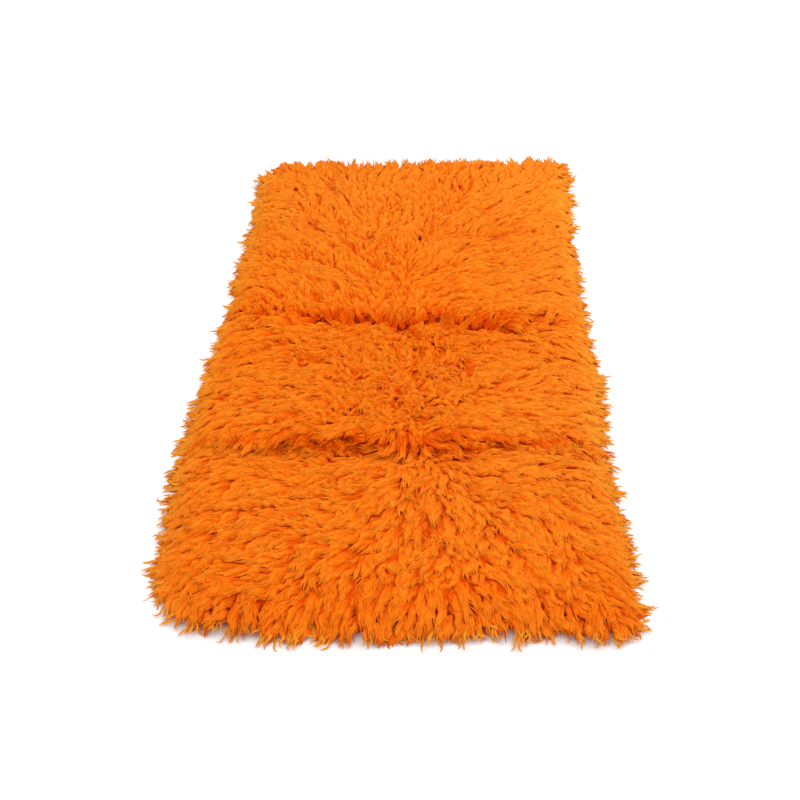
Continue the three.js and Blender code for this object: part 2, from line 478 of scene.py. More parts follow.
def smooth_step(value: np.ndarray, low: float, high: float) -> np.ndarray:
    """0 below low, 1 above high, and a smooth rise between."""
    share = np.clip((value - low) / (high - low), 0, 1)
    return share * share * (3 - 2 * share)


def bell(value: np.ndarray, width: float | np.ndarray) -> np.ndarray:
    """1 where the value is 0, falling smoothly to either side."""
    return np.exp(-((value / width) ** 2))


def ways(heading: np.ndarray) -> np.ndarray:
    """The unit vector in plan of each heading, along a last axis."""
    return np.stack([np.cos(heading), np.sin(heading)], axis=-1)


def turn_between(start: np.ndarray, end: np.ndarray) -> np.ndarray:
    """The shorter turn from one heading to another, in radians."""
    return (end - start + math.pi) % FULL_TURN - math.pi


def read_off(lines: tuple[object, ...], at: str, name: str, places: np.ndarray) -> np.ndarray:
    """Reads one measure between the lines of a table.

    Args:
        lines: the table's lines, in order.
        at: the name of the field that says where each line is.
        name: the name of the measure.
        places: where it is read.

    Returns:
        The measure at the places.
    """
    stops = [getattr(line, at) for line in lines]
    return np.interp(places, stops, [getattr(line, name) for line in lines])


# The lie of the rug


@dataclass(frozen=True)
class Corner:
    """One corner of the dense pile: the sides it lies on, and its radius."""

    side_x: int
    side_y: int
    radius: float


@dataclass(frozen=True)
class SideLine:
    """How far the two sides stand out from the straight at one place along the rug."""

    y: float
    left: float
    right: float


@dataclass(frozen=True)
class EndLine:
    """How far the two ends stand out from the straight at one place across the rug."""

    x: float
    near: float
    far: float


@dataclass(frozen=True)
class Outline:
    """The rounded outline of the dense pile, in plan."""

    half_width: float = 0.350
    half_length: float = 0.700
    corner_steps: int = 24
    corners: tuple[Corner, ...] = (
        Corner(-1, -1, 0.112),
        Corner(1, -1, 0.034),
        Corner(1, 1, 0.034),
        Corner(-1, 1, 0.040),
    )
    side_lines: tuple[SideLine, ...] = (
        SideLine(-0.700, -0.012, 0.010),
        SideLine(-0.610, -0.014, 0.003),
        SideLine(-0.510, -0.011, 0.003),
        SideLine(-0.430, -0.002, -0.007),
        SideLine(-0.290, 0.003, -0.011),
        SideLine(-0.185, 0.002, -0.004),
        SideLine(-0.070, 0.000, -0.003),
        SideLine(0.060, -0.008, -0.011),
        SideLine(0.200, -0.006, -0.012),
        SideLine(0.375, -0.007, -0.009),
        SideLine(0.560, 0.000, -0.002),
        SideLine(0.700, 0.004, 0.004),
    )
    end_lines: tuple[EndLine, ...] = (
        EndLine(-0.350, -0.012, 0.006),
        EndLine(-0.290, -0.016, 0.010),
        EndLine(-0.200, -0.013, 0.012),
        EndLine(-0.140, 0.000, 0.014),
        EndLine(-0.020, 0.002, 0.014),
        EndLine(0.080, -0.003, 0.016),
        EndLine(0.150, -0.009, 0.008),
        EndLine(0.250, -0.007, 0.006),
        EndLine(0.350, 0.000, 0.006),
    )

    def bulge(self, x: np.ndarray, y: np.ndarray) -> tuple[np.ndarray, np.ndarray]:
        """How far points lie from where a rug with straight sides would have them.

        Args:
            x: places across the rug.
            y: places along it.

        Returns:
            The distances across and along.
        """
        left, right = (read_off(self.side_lines, "y", name, y) for name in ("left", "right"))
        near, far = (read_off(self.end_lines, "x", name, x) for name in ("near", "far"))
        across = np.where(x < 0, left, right) * np.clip(x / self.half_width, -1, 1)
        to_end = smooth_step(np.abs(y) / self.half_length, 0.5, 1.0)
        return across, np.where(y < 0, near, far) * np.sign(y) * to_end

    def _overhang(self, x: np.ndarray, y: np.ndarray) -> tuple[np.ndarray, np.ndarray, np.ndarray]:
        """How far points lie past the start of their corner.

        Args:
            x: places across the rug.
            y: places along it.

        Returns:
            The distances across and along, and the corner's radius.
        """
        across, along = self.bulge(x, y)
        x, y = x - across, y - along
        radius = np.zeros_like(x)
        for corner in self.corners:
            radius[(x * corner.side_x >= 0) & (y * corner.side_y >= 0)] = corner.radius
        return np.abs(x) - (self.half_width - radius), np.abs(y) - (self.half_length - radius), radius

    def inset(self, x: np.ndarray, y: np.ndarray) -> np.ndarray:
        """How far points lie inside the outline, less than 0 outside it.

        Args:
            x: places across the rug.
            y: places along it.

        Returns:
            The distances.
        """
        over_x, over_y, radius = self._overhang(x, y)
        outside = np.hypot(np.maximum(over_x, 0), np.maximum(over_y, 0))
        return radius - outside - np.minimum(np.maximum(over_x, over_y), 0)

    def outward(self, x: np.ndarray, y: np.ndarray) -> np.ndarray:
        """The heading of the shortest way out of the outline.

        Args:
            x: places across the rug.
            y: places along it.

        Returns:
            The headings, in radians from +X.
        """
        over_x, over_y, _ = self._overhang(x, y)
        round_x, round_y = np.maximum(over_x, 0), np.maximum(over_y, 0)
        straight = (round_x + round_y) <= 0
        round_x = np.where(straight & (over_x >= over_y), 1.0, round_x)
        round_y = np.where(straight & (over_x < over_y), 1.0, round_y)
        return np.arctan2(round_y * np.sign(y), round_x * np.sign(x))

    def walk(self, spacing: float, inset: float) -> np.ndarray:
        """Points all the way round, just inside the outline.

        Args:
            spacing: the distance between them.
            inset: how far inside they lie.

        Returns:
            The points, one row each.
        """
        points = []
        for corner in self.corners:
            centre_x = corner.side_x * (self.half_width - corner.radius)
            centre_y = corner.side_y * (self.half_length - corner.radius)
            start = math.atan2(corner.side_y, corner.side_x) - math.pi / 4
            turns = np.linspace(start, start + math.pi / 2, self.corner_steps)
            points.extend(np.array([centre_x, centre_y]) + (corner.radius - inset) * ways(turns))
        ring = np.array(points + points[:1])
        lengths = np.concatenate([[0.0], np.cumsum(np.linalg.norm(np.diff(ring, axis=0), axis=1))])
        stops = np.arange(0.0, lengths[-1], spacing)
        x, y = np.interp(stops, lengths, ring[:, 0]), np.interp(stops, lengths, ring[:, 1])
        across, along = self.bulge(x, y)
        return np.stack([x + across, y + along], axis=1)


@dataclass(frozen=True)
class Parting:
    """A line where the rug was folded and the pile parts.

    It lies at y between its two ends, with a slope and a bow. The pile steps over it by so much. Painted
    shade in deep red darkens the wool beside it as strongly as its shade and as far out as its spread.
    """

    y: float
    from_x: float
    to_x: float
    slope: float
    bow: float
    step: float
    shade: float
    spread: float

    def offset(self, x: np.ndarray, y: np.ndarray) -> np.ndarray:
        """How far points lie beyond the line.

        Args:
            x: places across the rug.
            y: places along it.

        Returns:
            The distances, less than 0 on the near side.
        """
        across = np.clip((2 * x - self.from_x - self.to_x) / (self.to_x - self.from_x), -1, 1)
        line = np.full_like(x, self.y)
        wander = 0.010 * soft_noise(x, line, 0.10, Seed.WANDER)
        wander = wander + 0.008 * soft_noise(x, line, 0.035, Seed.FINE_WANDER)
        return y - self.y - self.slope * across - self.bow * (1 - across**2) - wander

    def within(self, x: np.ndarray, start: float, end: float) -> np.ndarray:
        """1 between its ends and 0 past them, in steps as far to each side of them as start and end say."""
        begun = smooth_step(x, self.from_x - start, self.from_x + start)
        return begun * (1 - smooth_step(x, self.to_x - end, self.to_x + end))


@dataclass(frozen=True)
class Lay:
    """How the pile lies at one distance along the rug: its slope on both sides, and where it turns."""

    y: float
    left: float
    right: float
    turn_x: float
    turn_width: float


@dataclass(frozen=True)
class ShadePatch:
    """A soft oval patch of painted shade in deep red: its middle, its half width and length, and its
    strength.
    """

    x: float
    y: float
    half_width: float
    half_length: float
    strength: float

    def share(self, x: np.ndarray, y: np.ndarray) -> np.ndarray:
        """How strong the patch is at each place."""
        return self.strength * bell(x - self.x, self.half_width) * bell(y - self.y, self.half_length)


@dataclass(frozen=True)
class Combing:
    """Which way the locks lie all over the rug, as the old folds and a comb have left them."""

    outline: Outline
    whorl_x: float = 0.049
    whorl_y: float = -0.317
    muddle_x: float = 0.005
    muddle_width: float = 0.115
    parting_width: float = 0.016
    rim_pull: float = 0.75
    rim_width: float = 0.065
    # Painted shade towards the near end and in soft ovals
    near_shade: float = 0.16
    shade_patches: tuple[ShadePatch, ...] = (
        ShadePatch(0.000, -0.045, 0.22, 0.070, 0.24),
        ShadePatch(0.049, -0.317, 0.09, 0.030, 0.45),
    )
    partings: tuple[Parting, ...] = (
        Parting(-0.327, -0.345, 0.075, 0.000, -0.006, 0.015, 0.75, 0.008),
        Parting(-0.328, 0.075, 0.345, 0.000, -0.004, 0.011, 0.65, 0.011),
        Parting(0.060, -0.345, 0.345, -0.022, -0.038, 0.012, 0.85, 0.018),
        Parting(0.350, 0.020, 0.345, 0.000, 0.005, 0.004, 0.35, 0.012),
    )
    lays: tuple[Lay, ...] = (
        Lay(-0.327, -0.50, -0.20, 0.045, 0.10),
        Lay(-0.288, -0.30, -0.02, 0.040, 0.14),
        Lay(-0.250, -0.06, 0.06, 0.035, 0.20),
        Lay(-0.100, -0.06, -0.02, 0.030, 0.16),
        Lay(0.010, -0.15, -0.10, 0.020, 0.12),
        Lay(0.0599, -0.25, -0.15, 0.010, 0.14),
        Lay(0.0601, 0.85, 0.45, 0.010, 0.20),
        Lay(0.085, 0.75, 0.38, 0.005, 0.22),
        Lay(0.120, 0.60, 0.28, 0.000, 0.26),
        Lay(0.165, 0.50, 0.16, -0.020, 0.28),
        Lay(0.205, 0.52, 0.12, -0.020, 0.28),
        Lay(0.300, 0.75, 0.20, 0.000, 0.28),
        Lay(0.345, 0.85, 0.30, 0.000, 0.28),
        Lay(0.355, 0.90, 0.55, 0.000, 0.28),
        Lay(0.500, 1.00, 0.80, 0.000, 0.28),
        Lay(0.640, 1.60, 1.40, 0.000, 0.28),
        Lay(0.740, 2.40, 2.40, 0.000, 0.28),
    )

    def _straightened(self, x: np.ndarray, y: np.ndarray) -> np.ndarray:
        """Takes the bows of the long partings out of y.

        Args:
            x: places across the rug.
            y: places along it.

        Returns:
            The distances along the rug as they would be with straight partings.
        """
        straight = y.copy()
        for parting in self.partings[:3]:
            within = (x >= parting.from_x - 0.02) & (x < parting.to_x + 0.02)
            offset = parting.offset(x, y)
            straight += bell(offset, 0.09) * within * (offset + parting.y - y)
        return straight

    def step(self, x: np.ndarray, y: np.ndarray) -> np.ndarray:
        """How far the pile stands above the smooth surface: it dips into a fold and rolls over beyond it.

        Args:
            x: places across the rug.
            y: places along it.

        Returns:
            The heights, in metres.
        """
        height = np.zeros_like(x)
        for parting in self.partings:
            offset = parting.offset(x, y)
            dip = bell(offset, np.where(offset < 0, 0.030, 0.010))
            roll = bell(offset - 0.024, 0.020)
            broken = 0.80 + 0.70 * soft_noise(x, np.full_like(x, parting.y), 0.045, Seed.BREAK)
            height += parting.within(x, 0.03, 0.04) * broken * parting.step * (0.6 * roll - dip)
        return height

    def parted(self, x: np.ndarray, y: np.ndarray) -> np.ndarray:
        """How near points lie to a parting.

        Args:
            x: places across the rug.
            y: places along it.

        Returns:
            Shares from 0 away from it to 1 on it.
        """
        share = np.zeros_like(x)
        for parting in self.partings:
            near = bell(parting.offset(x, y), self.parting_width)
            share = np.maximum(share, parting.within(x, 0.02, 0.02) * near)
        return share

    def crease_shade(self, x: np.ndarray, y: np.ndarray) -> np.ndarray:
        """How much painted shade in deep red the wool takes: most in the folds, some where the locks lie
        muddled, towards the near end and in two soft ovals.

        Args:
            x: places across the rug.
            y: places along it.

        Returns:
            Shares from 0 to 1.
        """
        # Painted shade towards the near end, in soft ovals and in broken bands beside the folds
        share = self.near_shade * smooth_step(-y, 0.58, 0.70) + sum(patch.share(x, y) for patch in self.shade_patches)
        broken = 0.5 + 0.5 * soft_noise(x * 0.35, y, 0.011, Seed.CREASE)
        for parting in self.partings:
            inner = 0.5 * (parting.to_x - parting.from_x) - 0.03
            middle = 0.5 * (parting.from_x + parting.to_x)
            within = 1 - smooth_step(np.abs(x - middle), 0.55 * inner, inner)
            band = bell(parting.offset(x, y) - 0.4 * parting.spread, parting.spread)
            share = share + parting.shade * (0.35 + 0.65 * within) * band * (0.15 + 0.85 * broken)
        # Painted shade in curls where the locks lie muddled
        curls = self.muddled(x, y) * soft_noise(x, y, 0.010, Seed.MUDDLE_CREASE)
        return np.clip(share + 0.35 * curls, 0, 1)

    def gapped(self, x: np.ndarray, y: np.ndarray) -> np.ndarray:
        """How wide the bunches of locks gape: most beside the folds and where they lie muddled.

        Args:
            x: places across the rug.
            y: places along it.

        Returns:
            Shares from 0 to 1.
        """
        lower = bell(y - self.whorl_y + 0.008, 0.050) * (1 - smooth_step(np.abs(x - 0.02), 0.26, 0.36))
        upper = bell(self.partings[2].offset(x, y), 0.030) * (1 - smooth_step(np.abs(x), 0.20, 0.34))
        return np.maximum(np.maximum(lower, 0.7 * upper), 0.5 * self.muddled(x, y))

    def muddled(self, x: np.ndarray, y: np.ndarray) -> np.ndarray:
        """How muddled the locks are: 0 where they lie combed, 1 where they curl anyhow between the folds."""
        across = bell(x - self.muddle_x, self.muddle_width)
        return across * smooth_step(y, -0.34, -0.21) * (1 - smooth_step(y, -0.02, 0.03))

    def heading(self, x: np.ndarray, y: np.ndarray) -> np.ndarray:
        """The way from root to tip.

        Args:
            x: places across the rug.
            y: places along it.

        Returns:
            The headings, in radians from +X.
        """
        level = self._straightened(x, y)
        left, right, turn_x, turn_width = (
            read_off(self.lays, "y", name, level) for name in ("left", "right", "turn_x", "turn_width")
        )
        across = np.clip((x - turn_x) / turn_width, -1, 1)
        along = left + (right - left) * (0.5 + 0.5 * across)
        # Below the lower fold the locks radiate from a whorl
        near_end = level < self.partings[0].y
        flat = 0.72 + 0.20 * np.tanh((x - self.whorl_x) / 0.10)
        away_x, away_y = x - self.whorl_x, np.minimum(flat * (y - self.whorl_y), -0.01)
        length = np.hypot(away_x, away_y)
        across = np.where(near_end, away_x / length, across)
        along = np.where(near_end, away_y / length, along)
        heading = np.arctan2(along, across)
        swirl = 0.45 * soft_noise(x, y, 0.085, Seed.SWIRL) + 0.50 * soft_noise(x, y, 0.038, Seed.FINE_SWIRL)
        heading = heading + swirl + 2.4 * self.muddled(x, y) * soft_noise(x, y, 0.045, Seed.MUDDLE)
        # The rim hangs outward
        pull = self.rim_pull * (1 - smooth_step(self.outline.inset(x, y), 0.0, self.rim_width))
        return heading + pull * turn_between(heading, self.outline.outward(x, y))


class PileSurface:
    """The height of the laid pile over the floor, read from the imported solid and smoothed."""

    step = 0.004
    margin = 0.05
    blur = 9 * MM
    above = 0.2

    def __init__(self, node: bpy.types.Object) -> None:
        """Reads the solid's height on a grid.

        Args:
            node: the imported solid.
        """
        low, high = cad_box
        self.x = np.arange(low.x - self.margin, high.x + self.margin, self.step)
        self.y = np.arange(low.y - self.margin, high.y + self.margin, self.step)
        mesh = node.data
        corners = [vertex.co for vertex in mesh.vertices]
        tree = BVHTree.FromPolygons(corners, [tuple(face.vertices) for face in mesh.polygons])
        down = Vector((0, 0, -1))
        heights = np.zeros((len(self.x), len(self.y)))
        for i, x in enumerate(self.x):
            for j, y in enumerate(self.y):
                hit = tree.ray_cast(Vector((x, y, self.above)), down)[0]
                heights[i, j] = hit.z if hit else 0.0
        self.heights = self._blurred(heights, self.blur / self.step)

    @staticmethod
    def _blurred(heights: np.ndarray, cells: float) -> np.ndarray:
        """Spreads heights by a bell along both axes.

        Args:
            heights: the heights on the grid.
            cells: how many cells they spread.

        Returns:
            The spread heights.
        """
        reach = int(math.ceil(3 * cells))
        weights = np.exp(-0.5 * (np.arange(-reach, reach + 1) / cells) ** 2)
        weights /= weights.sum()
        spread = np.apply_along_axis(np.convolve, 0, heights, weights, mode="same")
        return np.apply_along_axis(np.convolve, 1, spread, weights, mode="same")

    def height(self, x: np.ndarray, y: np.ndarray) -> np.ndarray:
        """The smoothed height.

        Args:
            x: places across the rug.
            y: places along it.

        Returns:
            The heights, in metres.
        """
        u = np.clip((x - self.x[0]) / self.step, 0, len(self.x) - 1.001)
        v = np.clip((y - self.y[0]) / self.step, 0, len(self.y) - 1.001)
        i, j = u.astype(int), v.astype(int)
        return blended(self.heights, i, j, u - i, v - j)


# Meshes


def add_mesh(
    name: str, points: np.ndarray, loops: np.ndarray, starts: np.ndarray, material: bpy.types.Material
) -> bpy.types.Object:
    """Makes a smooth mesh object from arrays.

    Args:
        name: the piece's name.
        points: its vertices, one row each.
        loops: the vertex of each face corner, face after face.
        starts: where each face starts in loops.
        material: its finish.

    Returns:
        The object, linked to the scene.
    """
    mesh = bpy.data.meshes.new(name)
    mesh.vertices.add(len(points))
    mesh.vertices.foreach_set("co", points.astype(np.float32).ravel())
    mesh.loops.add(len(loops))
    mesh.loops.foreach_set("vertex_index", loops.astype(np.int32))
    mesh.polygons.add(len(starts))
    mesh.polygons.foreach_set("loop_start", starts.astype(np.int32))
    mesh.polygons.foreach_set("use_smooth", np.ones(len(starts), dtype=bool))
    mesh.update(calc_edges=True)
    mesh.materials.append(material)
    made = bpy.data.objects.new(name, mesh)
    bpy.context.scene.collection.objects.link(made)
    return made


def settle(piece: bpy.types.Object) -> bpy.types.Object:
    """Fixes a piece to the rug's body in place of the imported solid.

    Args:
        piece: the piece.

    Returns:
        The same piece.
    """
    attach(piece, BODY)
    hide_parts(NODE)
    return piece


@dataclass
class PlanGrid:
    """A grid of points over a rounded rectangle, with its rim's order."""

    outline: Outline
    shrink: float
    cells_across: int
    cells_along: int

    def points(self) -> tuple[np.ndarray, np.ndarray]:
        """The grid in plan.

        Returns:
            x and y, each with a row for each line across the rug.
        """
        across = np.linspace(-1, 1, self.cells_across + 1)
        along = np.linspace(-1, 1, self.cells_along + 1)
        u, v = np.meshgrid(across, along, indexing="ij")
        half_width = self.outline.half_width - self.shrink
        half_length = self.outline.half_length - self.shrink
        x, y = u * half_width, v * half_length
        for corner in self.outline.corners:
            radius = max(corner.radius - self.shrink, 0.01)
            over_x = corner.side_x * x - (half_width - radius)
            over_y = corner.side_y * y - (half_length - radius)
            inside = (over_x > 0) & (over_y > 0)
            length = np.where(inside, np.hypot(over_x, over_y), 1.0)
            reach = np.maximum(over_x, over_y)
            round_x = corner.side_x * (half_width - radius + over_x * reach / length)
            round_y = corner.side_y * (half_length - radius + over_y * reach / length)
            x, y = np.where(inside, round_x, x), np.where(inside, round_y, y)
        across, along = self.outline.bulge(x, y)
        return x + across, y + along

    def top_faces(self) -> np.ndarray:
        """The grid's quads, anticlockwise from above.

        Returns:
            Four points for each.
        """
        column = self.cells_along + 1
        i, j = np.meshgrid(np.arange(self.cells_across), np.arange(self.cells_along), indexing="ij")
        first = (i * column + j).ravel()
        return np.stack([first, first + column, first + column + 1, first + 1], axis=1)

    def rim(self) -> np.ndarray:
        """The rim's points, anticlockwise from above.

        Returns:
            The points' numbers.
        """
        column, last = self.cells_along + 1, self.cells_across * (self.cells_along + 1)
        near = np.arange(self.cells_across) * column
        right = last + np.arange(self.cells_along)
        far = np.arange(self.cells_across, 0, -1) * column + self.cells_along
        left = np.arange(self.cells_along, 0, -1)
        return np.concatenate([near, right, far, left])


@dataclass
class WovenGround:
    """The woven ground that the locks are knotted through: a thin flat sheet with rounded corners."""

    outline: Outline
    finish: GroundWeave
    overhang: float = 0.020
    thickness: float = 2.4 * MM
    cells_across: int = 22
    cells_along: int = 44

    def build(self) -> bpy.types.Object:
        """Makes the sheet, closed all round.

        Returns:
            The piece.
        """
        grid = PlanGrid(self.outline, self.overhang, self.cells_across, self.cells_along)
        x, y = grid.points()
        count = x.size
        top = np.stack([x.ravel(), y.ravel(), np.full(count, self.thickness)], axis=1)
        foot = top * (1, 1, 0)
        upper = grid.top_faces()
        lower = upper[:, ::-1] + count
        rim = grid.rim()
        following = np.roll(rim, -1)
        wall = np.stack([rim + count, following + count, following, rim], axis=1)
        quads = np.concatenate([upper, lower, wall])
        return settle(
            add_mesh(
                "woven_ground",
                np.concatenate([top, foot]),
                quads.ravel(),
                np.arange(0, quads.size, 4),
                self.finish.material(),
            )
        )


@dataclass
class FeltedPile:
    """The matted lower half of the pile, which closes the gaps between locks."""

    outline: Outline
    combing: Combing
    surface: PileSurface
    finish: FeltedWool
    foot: float = 2.6 * MM
    shrink: float = 7 * MM
    share: float = 0.88
    parting_drop: float = 0.30
    shoulder: float = 32 * MM
    clump: float = 2.2 * MM
    cells_across: int = 80
    cells_along: int = 160

    def build(self) -> bpy.types.Object:
        """Makes the lumpy felt, closed below by a flat face.

        Returns:
            The piece.
        """
        grid = PlanGrid(self.outline, self.shrink, self.cells_across, self.cells_along)
        x, y = grid.points()
        rise = np.sqrt(np.clip(self.outline.inset(x, y) - self.shrink, 0, self.shoulder) / self.shoulder)
        lumps = soft_noise(x, y, 0.016, Seed.LUMP) + 0.6 * soft_noise(x, y, 0.008, Seed.FINE_LUMP)
        share = self.share - self.parting_drop * self.combing.parted(x, y)
        height = self.surface.height(x, y) + self.combing.step(x, y)
        z = self.foot + rise * (share * height - self.foot + self.clump * lumps)
        quads = grid.top_faces()
        rim = grid.rim()
        # The rim's points lie in one plane, and one flat face closes them
        level = z.ravel()
        level[rim] = self.foot
        points = np.stack([x.ravel(), y.ravel(), level], axis=1)
        loops = np.concatenate([quads.ravel(), rim[::-1]])
        starts = np.append(np.arange(0, quads.size, 4), quads.size)
        return settle(add_mesh("felted_pile", points, loops, starts, self.finish.material()))


# Locks


class Tier(Enum):
    """Where locks grow."""

    CROWN = "crown"
    PARTING = "parting"
    MUDDLE = "muddle"
    SHOULDER = "shoulder"
    SKIRT = "skirt"
    WISP = "wisp"


@dataclass(frozen=True)
class LockForm:
    """How the locks of one tier look. Lengths are in metres, turns in radians.

    Attributes:
        length, uneven: how long a lock is, and how far its length varies.
        width, height: how wide its strands are together, and how high the ridge of each stands.
        sink, rise: how deep its root lies, and how far its length stands up.
        crimp, crimp_length: how far its waves swing, and how long they are.
        splay, flick: how far its loose ends stray sideways, and up or down.
        stray, curl: how far it turns from the combing, and how far it turns on towards its tip.
        level: the share of the pile's height that it lies at.
        gather, close: how far its strands draw together, and how far it leans in to its bunch's middle.
        taper: how far its strands thin towards their tips.
        reach_low, reach_high: how far it may reach past the rim.
    """

    length: float
    uneven: float
    width: float
    height: float
    sink: float
    rise: float
    crimp: float
    crimp_length: float
    splay: float
    flick: float
    stray: float
    curl: float
    level: float
    gather: float
    close: float
    taper: float
    reach_low: float
    reach_high: float


FORMS = {
    Tier.CROWN: LockForm(
        length=45 * MM, uneven=0.24, width=11.5 * MM, height=1.7 * MM, sink=4.5 * MM, rise=1.7 * MM,
        crimp=2.9 * MM, crimp_length=24 * MM, splay=1.3 * MM, flick=1.0 * MM, stray=0.12, curl=0.9,
        level=0.92, gather=0.38, close=0.16, taper=0.50, reach_low=10 * MM, reach_high=28 * MM,
    ),
    Tier.PARTING: LockForm(
        length=32 * MM, uneven=0.25, width=9.5 * MM, height=1.7 * MM, sink=5 * MM, rise=4 * MM,
        crimp=2.0 * MM, crimp_length=21 * MM, splay=1.6 * MM, flick=2.0 * MM, stray=0.45, curl=1.2,
        level=0.88, gather=0.38, close=0.16, taper=0.50, reach_low=10 * MM, reach_high=28 * MM,
    ),
    Tier.MUDDLE: LockForm(
        length=30 * MM, uneven=0.25, width=9.5 * MM, height=1.7 * MM, sink=4 * MM, rise=4 * MM,
        crimp=2.6 * MM, crimp_length=20 * MM, splay=1.8 * MM, flick=1.7 * MM, stray=1.3, curl=2.4,
        level=0.92, gather=0.40, close=0.10, taper=0.45, reach_low=10 * MM, reach_high=28 * MM,
    ),
    Tier.SHOULDER: LockForm(
        length=52 * MM, uneven=0.28, width=10 * MM, height=2.2 * MM, sink=3 * MM, rise=2 * MM,
        crimp=2.2 * MM, crimp_length=24 * MM, splay=2.4 * MM, flick=2.2 * MM, stray=0.30, curl=1.0,
        level=0.62, gather=0.60, close=0.45, taper=0.65, reach_low=6 * MM, reach_high=34 * MM,
    ),
    Tier.SKIRT: LockForm(
        length=46 * MM, uneven=0.30, width=9.5 * MM, height=2.0 * MM, sink=1 * MM, rise=1 * MM,
        crimp=2.2 * MM, crimp_length=22 * MM, splay=2.6 * MM, flick=1.6 * MM, stray=0.34, curl=1.1,
        level=0.22, gather=0.60, close=0.45, taper=0.65, reach_low=4 * MM, reach_high=32 * MM,
    ),
    Tier.WISP: LockForm(
        length=62 * MM, uneven=0.25, width=6.0 * MM, height=1.1 * MM, sink=1 * MM, rise=4 * MM,
        crimp=2.6 * MM, crimp_length=20 * MM, splay=2.0 * MM, flick=3.0 * MM, stray=0.30, curl=2.2,
        level=0.50, gather=0.00, close=0.30, taper=0.65, reach_low=16 * MM, reach_high=43 * MM,
    ),
}


FaceCorner = tuple[int, int, float, float]


@dataclass(frozen=True)
class LockShape:
    """How one lock is meshed: strands side by side, joined in its length and free towards their tips.

    Each ring of each strand has a left foot, a ridge and a right foot, and joined strands share the foot
    between them. A belly closes the lock below. In the lock's cell of the map, the back takes the left part,
    the belly the right part and the root the lowest strip.
    """

    strands: int
    joined: int
    free: int

    back_share = 0.72
    belly_share = 0.24
    root_strip = 0.08
    root_bow = 0.06

    @property
    def single(self) -> bool:
        """Whether it is one strand alone, as in a wisp."""
        return self.strands == 1

    @property
    def rings(self) -> int:
        """How many rings it has, without the tips."""
        return self.joined + self.free

    @property
    def row(self) -> int:
        """How many points a joined ring has."""
        return 2 * self.strands + 1

    @property
    def size(self) -> int:
        """How many points the lock has."""
        return self.joined * self.row + self.free * 3 * self.strands + self.strands

    def point(self, ring: int, strand: int, part: int) -> int:
        """Numbers the points of a lock.

        Args:
            ring: the ring, where the one after the last is the tip.
            strand: the strand.
            part: 0, 1 or 2 for its left foot, ridge or right foot.

        Returns:
            The point's number.
        """
        if ring < self.joined:
            return ring * self.row + 2 * strand + part
        if ring < self.rings:
            return self.joined * self.row + ((ring - self.joined) * self.strands + strand) * 3 + part
        return self.size - self.strands + strand

    def faces(self) -> "LockFaces":
        """The faces of one lock, and what each of their corners takes.

        Returns:
            The faces.
        """
        made = LockFaces()
        last = self.strands - 1
        for ring in range(self.rings):
            following = ring + 1
            apart = following >= self.joined
            for strand in range(self.strands):
                for part in (0, 1):
                    corners = ((ring, part), (ring, part + 1), (following, part + 1), (following, part))
                    made.add([self._corner(at, strand, side) for at, side in corners])
                if apart:
                    corners = ((ring, 2), (ring, 0), (following, 0), (following, 2))
                    made.add([self._under(at, strand, side) for at, side in corners])
            if not apart:
                across = [self._under(following, 0, 0)]
                if following + 1 == self.joined:
                    across += [self._under(following, strand, 2) for strand in range(last)]
                start = [self._under(ring, last, 2), self._under(ring, 0, 0)]
                made.add([*start, *across, self._under(following, last, 2)])
        root = [self._corner(0, strand, part) for strand in range(self.strands) for part in (0, 1)]
        root.append(self._corner(0, last, 2))
        ends = (root[0], root[-1])
        made.add([(end[0], 3, end[2], 0.0 if end in ends else self.root_bow) for end in reversed(root)])
        return made

    def _height(self, ring: int) -> float:
        """How high a ring lies in the lock's cell of the map."""
        return self.root_strip + (1 - self.root_strip) * ring / self.rings

    def _corner(self, ring: int, strand: int, part: int) -> FaceCorner:
        """Makes one corner on the back.

        Args:
            ring: its ring.
            strand: its strand.
            part: 0, 1 or 2 for the left foot, the ridge and the right foot.

        Returns:
            Its point, its facing, and its place in the lock's cell of the map.
        """
        facing = 4 * ring + (part if ring < self.rings else 1)
        across = self.back_share * (2 * strand + part) / (2 * self.strands)
        return self.point(ring, strand, part), facing, across, self._height(ring)

    def _under(self, ring: int, strand: int, part: int) -> FaceCorner:
        """One corner of the belly, in the same way."""
        across = 1 - self.belly_share + self.belly_share * (2 * strand + part) / (2 * self.strands)
        return self.point(ring, strand, part), 4 * ring + 3, across, self._height(ring)


class LockFaces:
    """Faces as arrays: each corner's point, facing and place on the map, and where each face starts."""

    def __init__(self) -> None:
        """Starts with no faces."""
        self.points: list[int] = []
        self.facings: list[int] = []
        self.places: list[tuple[float, float]] = []
        self.starts: list[int] = []

    def add(self, corners: list[FaceCorner]) -> None:
        """Adds a face, with a tip's corner taken once.

        Args:
            corners: each corner's point, facing and place on the map.
        """
        self.starts.append(len(self.points))
        seen: set[int] = set()
        for point, facing, u, v in corners:
            if point not in seen:
                seen.add(point)
                self.points.append(point)
                self.facings.append(facing)
                self.places.append((u, v))


@dataclass
class Locks:
    """Locks as arrays with a row for each: strand lines, ring sizes, roll, shade, tone and length."""

    lines: np.ndarray
    width: np.ndarray
    height: np.ndarray
    roll: np.ndarray
    shade: np.ndarray
    tone: np.ndarray
    length: np.ndarray

    @staticmethod
    def joined(parts: list["Locks"]) -> "Locks":
        """All the locks of several sets in one."""
        names = [field.name for field in fields(Locks)]
        return Locks(*(np.concatenate([getattr(part, name) for part in parts]) for name in names))

    def chosen(self, rows: np.ndarray) -> "Locks":
        """Some of the locks."""
        return Locks(*(getattr(self, field.name)[rows] for field in fields(Locks)))

    def roots(self) -> tuple[np.ndarray, np.ndarray]:
        """Where the roots lie, across and along the rug."""
        return self.lines[:, 0, 0, 0], self.lines[:, 0, 0, 1]


